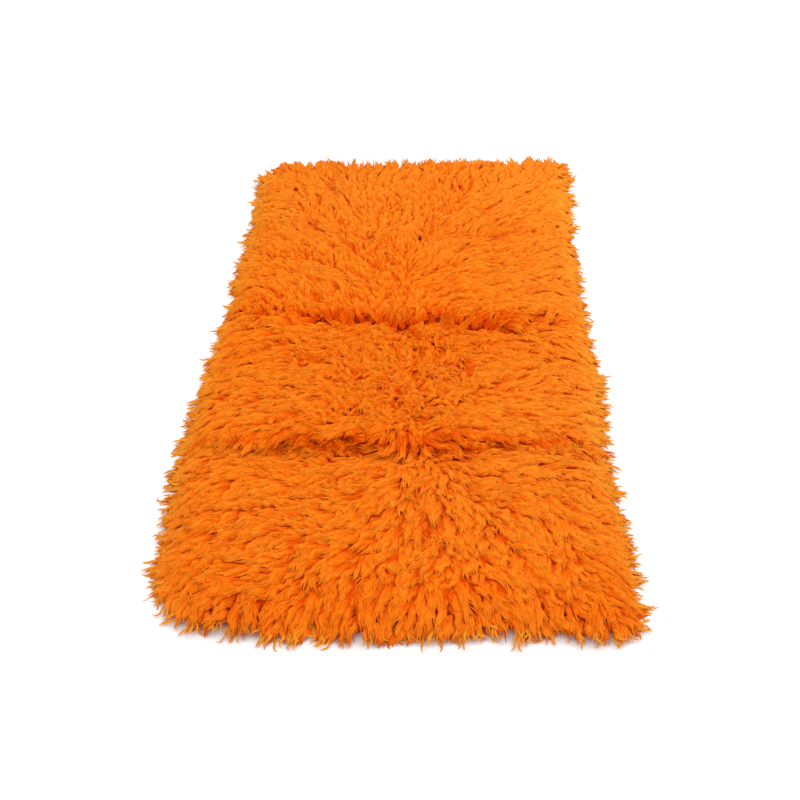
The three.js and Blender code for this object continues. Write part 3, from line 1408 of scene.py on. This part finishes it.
class Bunches:
    """The rounded bunches, a few centimetres across, in which neighbouring locks bend and curl alike."""

    spacing = 30 * MM
    jitter = 0.36
    beyond = 0.03
    stretch = 0.55
    half_width = 0.5 * spacing
    half_length = half_width / stretch
    arch = 5.0 * MM
    dip = 1.6 * MM

    def __init__(self, outline: Outline, combing: Combing, random: np.random.Generator) -> None:
        """Places the bunches and gives each its turn, curl, lift, tone, crimp and reach past the rim.

        Args:
            outline: the rug's outline.
            combing: how the pile lies.
            random: the random numbers.
        """
        self.centres = staggered(outline, self.spacing, self.jitter, random, -self.beyond)
        count = len(self.centres)
        x, y = self.centres.T
        self.heading = combing.heading(x, y)
        muddled = combing.muddled(x, y)
        self.turn = random.normal(0, 0.20, count) + muddled * random.normal(0, 1.2, count)
        self.curl = random.normal(0, 0.8, count) * (1 + muddled)
        self.lift = random.uniform(0.4, 2.2, count) * MM
        self.tone = random.uniform(-1, 1, count)
        self.phase = random.uniform(0, FULL_TURN, count)
        self.crimp = random.uniform(0.6, 1.3, count) * (1 + 0.4 * smooth_step(-y, 0.30, 0.42))
        self.reach = random.uniform(0, 1, count)

    def nearest(self, places: np.ndarray) -> np.ndarray:
        """Finds the bunch that each place belongs to, where bunches are longer than they are wide.

        Args:
            places: the places in plan, one row each.

        Returns:
            The bunches' numbers.
        """
        apart = places[:, None] - self.centres[None]
        way = ways(self.heading)
        along = (apart * way).sum(axis=2)
        across = apart[..., 0] * way[:, 1] - apart[..., 1] * way[:, 0]
        return np.argmin((self.stretch * along) ** 2 + across**2, axis=1)


def staggered(
    outline: Outline, spacing: float, jitter: float, random: np.random.Generator, inset: float
) -> np.ndarray:
    """Points all over the rug, in uneven staggered rows.

    Args:
        outline: the rug's outline.
        spacing: the distance between neighbours.
        jitter: how far each strays, as a share of the spacing.
        random: the random numbers.
        inset: how far inside the outline they stay.

    Returns:
        The points, one row each.
    """
    margin = max(-inset, 0.0)
    half_width, half_length = outline.half_width, outline.half_length
    rows = np.arange(-half_length - margin, half_length + margin, spacing * math.sqrt(3) / 2)
    columns = np.arange(-half_width - margin, half_width + margin, spacing)
    x, y = np.meshgrid(columns, rows)
    x = x + (np.arange(len(rows)) % 2)[:, None] * spacing / 2
    places = np.stack([x.ravel(), y.ravel()], axis=1)
    places = places + random.uniform(-jitter, jitter, places.shape) * spacing
    return places[outline.inset(*places.T) > inset]


@dataclass(frozen=True)
class Standing:
    """Where locks stand: their roots, bunches and places in them, and how the pile lies there."""

    bases: np.ndarray
    bunch: np.ndarray
    along: np.ndarray
    aside: np.ndarray
    parted: np.ndarray
    gapped: np.ndarray
    muddled: np.ndarray


class LockGrower:
    """Grows locks along the combing, over the pile's surface."""

    far_stand = 34 * MM
    floor = 0.4 * MM
    ceiling = 65 * MM
    rim_gap = 5 * MM
    spare = 0.06
    combed_again = 0.35
    hang_slope = 0.10
    muddle_middle = -0.16
    muddle_reach = 0.20

    def __init__(self, outline: Outline, combing: Combing, surface: PileSurface) -> None:
        """Keeps what the locks follow, and starts the random numbers.

        Args:
            outline: the rug's outline.
            combing: how the pile lies.
            surface: how high it lies.
        """
        self.outline = outline
        self.combing = combing
        self.surface = surface
        self.random = np.random.default_rng(Seed.LOCKS.value)
        self.bunches = Bunches(outline, combing, self.random)

    def _standing(self, bases: np.ndarray) -> Standing:
        """Finds where locks stand.

        Args:
            bases: the roots, one row each.

        Returns:
            Their bunches, and their places in them and in the pile.
        """
        bunches, combing = self.bunches, self.combing
        bunch = bunches.nearest(bases)
        way = ways(bunches.heading[bunch])
        apart = bases - bunches.centres[bunch]
        return Standing(
            bases=bases,
            bunch=bunch,
            along=(apart * way).sum(axis=1),
            aside=(way[:, 0] * apart[:, 1] - way[:, 1] * apart[:, 0]) / bunches.half_width,
            parted=combing.parted(*bases.T),
            gapped=combing.gapped(*bases.T),
            muddled=combing.muddled(*bases.T),
        )

    def _lengths(self, form: LockForm, stand: Standing) -> np.ndarray:
        """Draws the length of each lock, which may reach only so far past the rim.

        Args:
            form: the tier's form.
            stand: where the locks stand.

        Returns:
            The lengths, in metres.
        """
        random, count = self.random, len(stand.bases)
        forward = np.clip(stand.along / self.bunches.half_length, -1, 1)
        length = form.length * np.clip(1 + form.uneven * random.normal(0, 1, count), 0.5, 1.5)
        length = length * (1 - 0.16 * forward) * (1 - 0.2 * stand.parted)
        room = np.maximum(self.outline.inset(*stand.bases.T), 0)
        eager = 0.6 * self.bunches.reach[stand.bunch] + 0.4 * random.uniform(0, 1, count)
        eager = eager * (1 - 0.3 * smooth_step(-stand.bases[:, 1], 0.62, 0.70))
        return np.minimum(length, room + form.reach_low + (form.reach_high - form.reach_low) * eager)

    def _guides(
        self, bases: np.ndarray, length: np.ndarray, lean: np.ndarray, curl: np.ndarray, steps: int
    ) -> tuple[np.ndarray, np.ndarray]:
        """The middle line of each lock in plan.

        Args:
            bases: the roots, one row each.
            length: each lock's length.
            lean: its turn away from the combing.
            curl: its turn towards its tip.
            steps: how many points it has.

        Returns:
            The points, lock by step by axis, and the heading at each.
        """
        heading = self.combing.heading(*bases.T) + lean
        place = bases.copy()
        points, headings = np.zeros((len(bases), steps, 2)), np.zeros((len(bases), steps))
        for step in range(steps):
            points[:, step], headings[:, step] = place, heading
            share = np.array(step / (steps - 1))
            place = place + ways(heading) * (length / (steps - 1))[:, None]
            combed = self.combing.heading(*place.T) + lean
            heading = heading + self.combed_again * turn_between(heading, combed)
            heading = heading + curl * 0.5 * smooth_step(share, 0.35, 1.0)
        return points, headings

    def _waves(
        self, form: LockForm, stand: Standing, run: np.ndarray, strands: int
    ) -> tuple[np.ndarray, np.ndarray]:
        """Draws the crimp of each strand.

        Neighbours of one bunch crimp together, because the waves count from the bunch's middle.

        Args:
            form: the tier's form.
            stand: where the locks stand.
            run: how far each step lies along its bunch.
            strands: how many strands a lock has.

        Returns:
            The turns of the waves at each step, and how far each strand swings, lock by strand by step.
        """
        random, bunches, count = self.random, self.bunches, len(stand.bunch)
        turns = FULL_TURN * run / form.crimp_length + bunches.phase[stand.bunch][:, None]
        turns = turns * random.uniform(0.8, 1.25, len(bunches.centres))[stand.bunch][:, None]
        turns = turns[:, None, :]
        wave = 0.65 * np.sin(turns + random.normal(0, 0.6, (count, strands))[:, :, None])
        slow = random.uniform(0, FULL_TURN, count)[:, None] + random.normal(0, 0.3, (count, strands))
        wave = wave + 0.8 * np.sin(0.46 * turns + slow[:, :, None])
        growing = 0.35 + 0.65 * np.linspace(0, 1, run.shape[1])
        return turns, form.crimp * bunches.crimp[stand.bunch][:, None, None] * growing * wave

    def _heights(
        self,
        form: LockForm,
        stand: Standing,
        run: np.ndarray,
        turns: np.ndarray,
        loose: np.ndarray,
        plan: np.ndarray,
    ) -> np.ndarray:
        """Draws how high each point of each strand lies.

        Args:
            form: the tier's form.
            stand: where the locks stand.
            run: how far each step lies along its bunch.
            turns: the turns of the waves at each step.
            loose: how loose the strands are at each step.
            plan: the points in plan, lock by strand by step by axis.

        Returns:
            The heights, lock by strand by step.
        """
        random, bunches = self.random, self.bunches
        count, strands, steps = plan.shape[:3]
        x, y = plan[..., 0], plan[..., 1]
        share = np.linspace(0, 1, steps)
        sink = form.sink * (1 - 0.8 * stand.parted) * random.uniform(0.7, 1.3, count)
        rise = form.rise * random.uniform(0.4, 1.6, count)
        droop = 1 - smooth_step(share, 0.55, 1.0)
        lift = -sink[:, None] + (sink + rise)[:, None] * share**0.6 * (0.45 + 0.55 * droop)
        # Each bunch is rounded across its way, and its front stands over the next
        off_middle = np.clip(stand.aside, -1, 1) ** 2
        rounded = bunches.arch * (1 + 0.5 * stand.gapped) * (1 - off_middle)
        rounded = rounded - bunches.dip * (1 + 2 * stand.gapped)
        shelf = (bunches.lift[stand.bunch] * (1 - 0.5 * off_middle))[:, None]
        shelf = shelf * smooth_step(run / bunches.half_length, -0.8, 1.0) * (0.35 + 0.65 * droop)
        flick = random.normal(0, form.flick, (count, strands))[:, :, None] * loose
        ripple = np.cos(turns + random.normal(0, 0.5, (count, strands))[:, :, None])
        ripple = (0.5 + 2.3 * stand.muddled[:, None, None]) * MM * ripple
        level = form.level + (1 - form.level) * 0.35 * share
        upright = smooth_step(stand.bases[:, 1], 0.60, 0.69) * random.uniform(0.2, 1.0, count)
        upright = self.far_stand * (upright * (0.4 + 0.6 * form.level))[:, None] * share**1.5
        # Locks that cross a fold hang over it, for they dip less steeply than it does
        step = self.combing.step(x, y)
        fall = self.hang_slope * (run[:, -1:] - run[:, :1]) / (steps - 1)
        for ring in range(1, steps):
            step[:, :, ring] = np.maximum(step[:, :, ring], step[:, :, ring - 1] - fall)
        ground = self.surface.height(x, y) + step
        z = level * (ground + rounded[:, None, None]) + (lift + shelf + upright)[:, None, :] + flick + ripple
        return np.clip(z, self.floor, self.ceiling)

    def grow(self, form: LockForm, shape: LockShape, bases: np.ndarray) -> Locks:
        """Grows a lock at each base.

        Args:
            form: the tier's form.
            shape: how its locks are meshed.
            bases: the roots, one row each.

        Returns:
            The locks.
        """
        random, bunches, count, strands = self.random, self.bunches, len(bases), shape.strands
        share = np.linspace(0, 1, shape.rings + 1)
        stand = self._standing(bases)
        length = self._lengths(form, stand)
        lean = bunches.turn[stand.bunch] - form.close * stand.aside + random.normal(0, form.stray, count)
        curl = form.curl * (0.6 * bunches.curl[stand.bunch] + 0.5 * random.normal(0, 1, count)) / 2
        guide, heading = self._guides(bases, length, lean, curl, len(share))
        run = stand.along[:, None] + share * length[:, None]
        turns, swing = self._waves(form, stand, run, strands)
        # The strands lie side by side, and each takes its own share of the lock's width
        bulk = random.uniform(0.82, 1.2, count)
        pitch = form.width / strands * bulk[:, None] * (1 - form.gather * share**2)
        fit = random.uniform(0.6, 1.4, (count, strands))
        fit = fit * strands / fit.sum(axis=1, keepdims=True)
        order = np.cumsum(fit, axis=1) - 0.5 * fit - 0.5 * strands
        loose = smooth_step(share, (shape.joined - 2) / shape.rings, 1.0)
        stray = random.normal(0, form.splay, (count, strands))[:, :, None] * loose
        offset = order[:, :, None] * pitch[:, None, :] + swing + stray
        ahead = ways(heading)[:, None]
        side = ahead[..., ::-1] * (1, -1)
        longer = random.uniform(-0.12, 0.14, (count, strands))[:, :, None] * length[:, None, None] * loose
        plan = guide[:, None] + side * offset[..., None] + ahead * longer[..., None]
        z = self._heights(form, stand, run, turns, loose, plan)
        tone = 0.75 * bunches.tone[stand.bunch] + 0.45 * random.uniform(-1, 1, count)
        taper = 1 - form.taper * smooth_step(share, (shape.joined - 1) / shape.rings, 1.0)
        tall = random.uniform(0.8, 1.25, (count, strands))[:, :, None]
        roll = random.normal(0, 0.18, count)
        # Painted shade at the borders of bunches, more where they gape
        edge = smooth_step(np.abs(stand.aside), 0.60, 1.05) * random.uniform(0.4, 1.0, count)
        return Locks(
            lines=np.concatenate([plan, z[..., None]], axis=3),
            width=fit[:, :, None] * pitch[:, None, :] * taper,
            height=tall * form.height * (0.2 + 0.8 * taper) * np.minimum(1, 0.5 + 2 * share),
            roll=roll,
            shade=(0.55 + 1.10 * stand.gapped) * edge,
            tone=tone + 0.6 * soft_noise(*bases.T, 0.11, Seed.TONE),
            length=length,
        )

    def _clear(self, places: np.ndarray) -> np.ndarray:
        """The places that lie clear of the rim."""
        return places[self.outline.inset(*places.T) > self.rim_gap]

    def crown_bases(self, spacing: float) -> np.ndarray:
        """Roots all over the rug, so far apart."""
        return staggered(self.outline, spacing, 0.40, self.random, self.rim_gap)

    def parting_bases(self, spacing: float) -> np.ndarray:
        """Roots along the partings, on both sides of each.

        Args:
            spacing: the distance between neighbours.

        Returns:
            The roots, one row each.
        """
        rows = []
        for parting in self.combing.partings:
            x = np.arange(parting.from_x, parting.to_x, spacing)
            x = x + self.random.uniform(-0.5, 0.5, len(x)) * spacing
            y = self.random.uniform(-0.6, 0.6, len(x)) * self.combing.parting_width
            rows.append(np.stack([x, y - parting.offset(x, np.zeros_like(x))], axis=1))
        return self._clear(np.concatenate(rows))

    def hole_bases(self, locks: Locks, cell: float, length: float) -> np.ndarray:
        """Roots of locks that lie across the bare places left between others.

        Args:
            locks: the locks grown so far.
            cell: the size of a place.
            length: how long the new locks are.

        Returns:
            The roots, one row each.
        """
        low = np.array([-self.outline.half_width, -self.outline.half_length]) - self.spare
        filled = np.floor((locks.lines[:, :, 1:, :2].reshape(-1, 2) - low) / cell).astype(int)
        bare = np.ones(tuple(np.ceil(-2 * low / cell).astype(int)), dtype=bool)
        bare[filled[:, 0], filled[:, 1]] = False
        middles = self._clear(low + (np.argwhere(bare) + 0.5) * cell)
        return middles - 0.55 * length * ways(self.combing.heading(*middles.T))

    def muddle_bases(self, count: int) -> np.ndarray:
        """Roots where the locks lie muddled.

        Args:
            count: how many are tried.

        Returns:
            The roots, one row each.
        """
        reach = np.array((2 * self.combing.muddle_width, self.muddle_reach))
        centre = np.array((self.combing.muddle_x, self.muddle_middle))
        tried = centre + self.random.uniform(-1, 1, (count, 2)) * reach
        return tried[self.random.uniform(0, 1, count) < self.combing.muddled(*tried.T)]

    def rim_bases(self, spacing: float, inset: float) -> np.ndarray:
        """Roots round the rim, so far apart and so far inside the outline."""
        bases = self.outline.walk(spacing, inset)
        return bases + self.random.uniform(-0.3, 0.3, bases.shape) * spacing


@dataclass
class LaidPile:
    """All the locks: bands across the rug, the fringe round its rim and the wisps that stray from it."""

    grower: LockGrower
    finish: LockWool
    bands: tuple[str, ...] = ("pile_near", "pile_lower", "pile_middle", "pile_upper", "pile_far")
    fringe: str = "rim_fringe"
    wisps: str = "rim_wisps"
    lock_shape: LockShape = LockShape(3, 6, 1)
    fringe_shape: LockShape = LockShape(3, 3, 4)
    wisp_shape: LockShape = LockShape(1, 2, 6)
    crown_spacing: float = 12.8 * MM
    parting_spacing: float = 7 * MM
    muddle_tries: int = 1500
    hole_size: float = 6.8 * MM
    hole_rounds: int = 2
    shoulder_spacing: float = 10 * MM
    shoulder_inset: float = 16 * MM
    skirt_spacing: float = 9.5 * MM
    skirt_inset: float = 12 * MM
    wisp_spacing: float = 17 * MM
    wisp_inset: float = 12 * MM
    wisp_chance: float = 0.8
    wisps_together: int = 4
    wisp_spread: float = 4 * MM
    drop: float = 3.0 * MM
    softening: float = 1.6
    # How deep the feet and tips lie among the wool, which sets their painted shade; wisps take less
    outer_foot: float = 1.25
    joined_foot: float = 0.55
    loose_foot: float = 0.95
    tip_depth: float = 0.25
    most_depth: float = 2.0
    wisp_foot_share: float = 0.2
    wisp_depth: float = -0.3
    wisp_painted_light: float = 0.95
    atlas_margin: float = 0.08

    def _laid(self) -> Locks:
        """The locks that lie on the rug, from the near end to the far one.

        Returns:
            The locks.
        """
        grower, shape, short = self.grower, self.lock_shape, FORMS[Tier.PARTING]
        crown = grower.grow(FORMS[Tier.CROWN], shape, grower.crown_bases(self.crown_spacing))
        parting = grower.grow(short, shape, grower.parting_bases(self.parting_spacing))
        muddle = grower.grow(FORMS[Tier.MUDDLE], shape, grower.muddle_bases(self.muddle_tries))
        locks = Locks.joined([crown, parting, muddle])
        for _ in range(self.hole_rounds):
            cover = grower.grow(short, shape, grower.hole_bases(locks, self.hole_size, short.length))
            locks = Locks.joined([locks, cover])
        return locks.chosen(np.argsort(locks.lines[:, 0, 0, 1], kind="stable"))

    def _hanging(self) -> Locks:
        """The locks that hang from the rim, in two rows.

        Returns:
            The locks.
        """
        grower, shape = self.grower, self.fringe_shape
        upper = grower.rim_bases(self.shoulder_spacing, self.shoulder_inset)
        shoulder = grower.grow(FORMS[Tier.SHOULDER], shape, upper)
        lower = grower.rim_bases(self.skirt_spacing, self.skirt_inset)
        return Locks.joined([shoulder, grower.grow(FORMS[Tier.SKIRT], shape, lower)])

    def _straying(self) -> Locks:
        """The thin wisps that stray from the rim, a few together.

        Returns:
            The wisps.
        """
        grower = self.grower
        middles = grower.outline.walk(self.wisp_spacing, self.wisp_inset)
        middles = middles[grower.random.uniform(0, 1, len(middles)) < self.wisp_chance]
        bases = np.repeat(middles, self.wisps_together, axis=0)
        bases = bases + grower.random.normal(0, self.wisp_spread, bases.shape)
        return grower.grow(FORMS[Tier.WISP], self.wisp_shape, bases)

    def _points(self, shape: LockShape, locks: Locks, side: np.ndarray, over: np.ndarray) -> np.ndarray:
        """The points of the locks.

        Args:
            shape: how they are meshed.
            locks: the locks.
            side: the way to the right of each, ring by ring.
            over: the way out of its back.

        Returns:
            Lock by point by axis.
        """
        joined, rings, strands = shape.joined, shape.rings, shape.strands
        lines = locks.lines[:, :, :rings]
        half = 0.5 * locks.width[:, :, :rings, None] * side[:, None, :rings]
        crest = lines + locks.height[:, :, :rings, None] * over[:, None, :rings]
        left, right = lines - half, lines + half
        drop = self.drop * np.interp(np.arange(rings + 1) / rings, (0, 0.15, 0.8, 1), (0.3, 1, 0.8, 0.3))
        left[:, 0, :, 2] -= drop[:rings]
        right[:, -1, :, 2] -= drop[:rings]
        left[:, 1:, :, 2] -= 0.3 * drop[:rings]
        right[:, :-1, :, 2] -= 0.3 * drop[:rings]
        total = len(lines)
        rows = np.zeros((total, joined, shape.row, 3))
        rows[:, :, 1::2] = crest[:, :, :joined].transpose(0, 2, 1, 3)
        rows[:, :, 0], rows[:, :, -1] = left[:, 0, :joined], right[:, -1, :joined]
        depth = np.linspace(0.5, 0.1, joined)[None, None, :, None] * locks.height[:, :-1, :joined, None]
        valley = 0.5 * (lines[:, :-1, :joined] + lines[:, 1:, :joined]) + depth * over[:, None, :joined]
        rows[:, :, 2:-1:2] = valley.transpose(0, 2, 1, 3)
        loose = np.stack([left[:, :, joined:], crest[:, :, joined:], right[:, :, joined:]], axis=3)
        loose = loose.transpose(0, 2, 1, 3, 4).reshape(total, -1, 3)
        tips = locks.lines[:, :, rings] - drop[-1] * UP
        points = np.concatenate([rows.reshape(total, -1, 3), loose, tips.reshape(total, strands, 3)], axis=1)
        points[..., 2] = np.maximum(points[..., 2], 0.1 * MM)
        return points

    def _facing(self, ahead: np.ndarray, side: np.ndarray, over: np.ndarray) -> np.ndarray:
        """The ways that the corners face, rounded so that each strand shades as a soft ridge.

        Args:
            ahead: the locks' way at each ring and at the tip.
            side: the way to their right.
            over: the way out of their backs.

        Returns:
            Lock by facing by axis, with four facings a ring: left foot, ridge, right foot and belly.
        """
        upward = self.softening * UP
        ridge, outer = over + upward, 0.6 * over + upward
        ways_out = [outer - 0.8 * side, ridge, outer + 0.8 * side, -over]
        ridge[:, -1] += 0.5 * ahead[:, -1]
        facing = np.stack(ways_out, axis=2)
        facing /= np.linalg.norm(facing, axis=3, keepdims=True)
        return facing.reshape(len(ahead), -1, 3)

    def _piece(
        self, name: str, shape: LockShape, locks: Locks, material: bpy.types.Material
    ) -> bpy.types.Object:
        """Makes locks as one joined mesh.

        Args:
            name: the piece's name.
            shape: how its locks are meshed.
            locks: the locks.
            material: their finish.

        Returns:
            The piece.
        """
        total = len(locks.lines)
        ahead = np.gradient(locks.lines.mean(axis=1), axis=1)
        ahead /= np.linalg.norm(ahead, axis=2, keepdims=True)
        side = np.cross(ahead, UP)
        side /= np.maximum(np.linalg.norm(side, axis=2, keepdims=True), 1e-6)
        over = np.cross(side, ahead)
        turn = locks.roll[:, None, None]
        side, over = np.cos(turn) * side + np.sin(turn) * over, np.cos(turn) * over - np.sin(turn) * side
        points = self._points(shape, locks, side, over)
        faces = shape.faces()
        corners, starts = np.array(faces.points), np.array(faces.starts)
        loops = (corners[None, :] + shape.size * np.arange(total)[:, None]).ravel()
        firsts = (starts[None, :] + len(corners) * np.arange(total)[:, None]).ravel()
        piece = add_mesh(name, points.reshape(-1, 3), loops, firsts, material)
        facing = self._facing(ahead, side, over)[:, np.array(faces.facings)]
        piece.data.normals_split_custom_set(facing.reshape(-1, 3).astype(np.float32))
        self._write_map(piece.data, np.array(faces.places), total)
        self._write_fibres(piece.data, shape, locks)
        return settle(piece)

    def _write_map(self, mesh: bpy.types.Mesh, places: np.ndarray, total: int) -> None:
        """Gives each lock its own cell of a map that covers the whole square.

        Args:
            mesh: the piece.
            places: the places of one lock's face corners in its cell.
            total: how many locks there are.
        """
        columns = int(math.ceil(math.sqrt(total * 2)))
        rows = int(math.ceil(total / columns))
        index = np.arange(total)
        corner = np.stack([index % columns, index // columns], axis=1)
        inner = self.atlas_margin + (1 - 2 * self.atlas_margin) * places
        cells = (corner[:, None, :] + inner[None]) / np.array([columns, rows])
        layer = mesh.uv_layers.new(name="OFBake")
        layer.data.foreach_set("uv", cells.astype(np.float32).ravel())

    def _foot(self, shape: LockShape, ring: int, strand: int, part: int) -> float:
        """How deep a point lies among the wool, which sets how much painted shade it takes.

        Args:
            shape: how the lock is meshed.
            ring: the point's ring.
            strand: its strand.
            part: 0, 1 or 2 for the left foot, the ridge and the right foot.

        Returns:
            The depth, from 0 on a ridge.
        """
        if ring == shape.rings:
            return self.tip_depth
        if part == 1:
            return 0.0
        foot = self.joined_foot if ring < shape.joined else self.loose_foot
        if (strand, part) in ((0, 0), (shape.strands - 1, 2)):
            foot = self.outer_foot
        return foot * (self.wisp_foot_share if shape.single else 1.0)

    def _section(self, shape: LockShape) -> tuple[np.ndarray, np.ndarray, np.ndarray]:
        """Reads off the points of one lock.

        Args:
            shape: how it is meshed.

        Returns:
            Each point's ring, its place across in half strands, and its depth.
        """
        rings, across, depth = np.zeros(shape.size, dtype=int), np.zeros(shape.size), np.zeros(shape.size)
        for ring in range(shape.rings + 1):
            for strand in range(shape.strands):
                for part in (0, 1, 2):
                    point = shape.point(ring, strand, part)
                    rings[point] = ring
                    across[point] = 2 * strand + (part if ring < shape.rings else 1)
                    depth[point] = self._foot(shape, ring, strand, part)
        return rings, across, depth

    def _write_fibres(self, mesh: bpy.types.Mesh, shape: LockShape, locks: Locks) -> None:
        """Writes what the wool's finish reads: the way of the fibres, reach to the tip, depth for painted
        shade, tone, and the share of painted light.

        Args:
            mesh: the piece.
            shape: how its locks are meshed.
            locks: the locks.
        """
        total = len(locks.lines)
        rings, across, depth = self._section(shape)
        reach = rings / shape.rings
        # Each lock reads its own stretch of the streaks
        index = np.arange(total)[:, None]
        pitch = locks.width[:, :, 0].mean(axis=1)[:, None] / (2 * MM)
        fibre = np.stack(
            [
                across[None] * pitch + (index % 61) * 13.0,
                reach[None] * locks.length[:, None] / MM,
                np.broadcast_to((index % 97) * 3.7, (total, shape.size)),
            ],
            axis=2,
        )
        fibres = mesh.attributes.new("fibre", "FLOAT_VECTOR", "POINT")
        fibres.data.foreach_set("vector", fibre.astype(np.float32).ravel())
        # Painted shade: the folds, the soft ovals, the near end, the muddle and the borders of bunches add to
        # each point's depth
        plan = locks.lines[:, :, :, :2].mean(axis=1)[:, rings]
        crease_shade = self.grower.combing.crease_shade(plan[..., 0], plan[..., 1])
        uneven = 0.65 + 0.35 * soft_noise(*locks.roots(), 9 * MM, Seed.FOOT)
        shade = locks.shade[:, None] * (1 - 0.5 * reach[None])
        # Wisps take less painted shade, and so show lighter
        lowest = self.wisp_depth if shape.single else 0.0
        depth = depth[None] * (uneven + 0.5 * locks.shade)[:, None] + crease_shade + shade + lowest
        # Painted light: a yellower colour where more light falls, and on the thin wisps
        fade = np.full(total, self.wisp_painted_light) if shape.single else self._painted_light(locks)
        values = {
            "reach": np.tile(reach, total),
            "depth": np.clip(depth, lowest, self.most_depth).ravel(),
            "tone": np.repeat(locks.tone, shape.size),
            "fade": np.repeat(fade, shape.size),
        }
        for name, value in values.items():
            mesh.attributes.new(name, "FLOAT", "POINT").data.foreach_set("value", value.astype(np.float32))

    def _painted_light(self, locks: Locks) -> np.ndarray:
        """How much painted light each lock takes, in a yellower colour: most along the right side, at the far
        end and where it strays past the rim, and little at the near end.

        Args:
            locks: the locks.

        Returns:
            Shares from 0 to 0.9.
        """
        x, y = locks.roots()
        tips = locks.lines[:, :, -1, :2].mean(axis=1)
        share = 0.08 + 0.28 * smooth_step(x, 0.05, 0.34) + 0.22 * smooth_step(y, 0.1, 0.6)
        near = smooth_step(-y, 0.38, 0.68)
        past = 1 - smooth_step(self.grower.outline.inset(*tips.T), -0.03, 0.01)
        share = share * (1 - near) + 0.60 * past * (1 - 0.6 * near)
        return np.clip(share + 0.08 * soft_noise(x, y, 0.12, Seed.FADE), 0.0, 0.9)

    def build(self) -> list[bpy.types.Object]:
        """Makes all the bands, the fringe and the wisps.

        Returns:
            The pieces: the bands from the near end to the far one, the fringe and the wisps.
        """
        material = self.finish.material()
        laid = self._laid()
        shares = np.array_split(np.arange(len(laid.lines)), len(self.bands))
        pieces = [
            self._piece(name, self.lock_shape, laid.chosen(rows), material)
            for name, rows in zip(self.bands, shares)
        ]
        pieces.append(self._piece(self.fringe, self.fringe_shape, self._hanging(), material))
        pieces.append(self._piece(self.wisps, self.wisp_shape, self._straying(), material))
        return pieces


# Studio


@dataclass
class Studio:
    """A white floor, soft light all round, a soft lamp from the far right, and the photograph's camera."""

    floor_half: float = 6.0
    floor_colour: Colour = (0.96, 0.96, 0.96, 1.0)
    sky: float = 1.06
    lamp_place: tuple[float, float, float] = (1.9, 1.0, 2.6)
    lamp_size: float = 1.8
    lamp_watts: float = 32.0
    camera_place: tuple[float, float, float] = (0.11935, -1.67799, 1.22849)
    yaw: float = -0.07674268
    pitch: float = 0.68101341
    roll: float = -0.05415162
    lens: float = 48.6
    sensor_width: float = 36.0

    def floor(self) -> None:
        """Lays the floor, which isn't part of the rug."""
        painted = {"Base Color": self.floor_colour, "Roughness": 0.9, "Specular IOR Level": 0.0}
        material = Shader("studio_floor").finish(painted, {})
        half = self.floor_half
        points = np.array([[-half, -half, 0], [half, -half, 0], [half, half, 0], [-half, half, 0]])
        add_mesh("studio_floor", points, np.arange(4), np.array([0]), material)

    def light(self) -> None:
        """Sets the soft white surroundings and the lamp."""
        world = bpy.data.worlds.new("studio_light")
        bpy.context.scene.world = world
        world.use_nodes = True
        background = world.node_tree.nodes["Background"]
        background.inputs["Color"].default_value = (1.0, 1.0, 1.0, 1.0)
        background.inputs["Strength"].default_value = self.sky
        lamp = bpy.data.lights.new("soft_lamp", "AREA")
        lamp.shape, lamp.size, lamp.energy = "DISK", self.lamp_size, self.lamp_watts
        held = bpy.data.objects.new("soft_lamp", lamp)
        held.location = self.lamp_place
        held.rotation_euler = (-Vector(self.lamp_place)).to_track_quat("-Z", "Y").to_euler()
        bpy.context.scene.collection.objects.link(held)

    def camera(self) -> None:
        """Sets the camera where the photograph was taken from."""
        data = bpy.data.cameras.new("photo_camera")
        data.lens, data.sensor_width = self.lens, self.sensor_width
        camera = bpy.data.objects.new("photo_camera", data)
        level = Vector((math.cos(self.yaw), -math.sin(self.yaw), 0.0))
        north = Vector((math.sin(self.yaw), math.cos(self.yaw), 0.0))
        ahead = math.cos(self.pitch) * north - Vector((0.0, 0.0, math.sin(self.pitch)))
        upward = level.cross(ahead)
        right = math.cos(self.roll) * level + math.sin(self.roll) * upward
        top = math.cos(self.roll) * upward - math.sin(self.roll) * level
        turn = Matrix((right, top, -ahead)).transposed().to_4x4()
        camera.matrix_world = Matrix.Translation(self.camera_place) @ turn
        bpy.context.scene.collection.objects.link(camera)
        bpy.context.scene.camera = camera

    def set_up(self) -> None:
        """Builds the studio."""
        self.floor()
        self.light()
        self.camera()
        bpy.context.scene.view_settings.view_transform = "Standard"
        bpy.context.scene.view_settings.look = "None"


def main() -> None:
    """Builds the studio and the rug."""
    logging.basicConfig(level=logging.INFO, format="%(message)s")
    Studio().set_up()
    outline = Outline()
    surface = PileSurface(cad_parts[NODE])
    ground = WovenGround(outline, GroundWeave())
    sheet = ground.build()
    combing = Combing(outline)
    felt = FeltedPile(outline, combing, surface, FeltedWool()).build()
    locks = LaidPile(LockGrower(outline, combing, surface), LockWool()).build()
    for piece in (sheet, felt, *locks):
        triangles = sum(len(face.vertices) - 2 for face in piece.data.polygons)
        log.info("%s: %d triangles", piece.name, triangles)


if __name__ == "__main__":
    main()
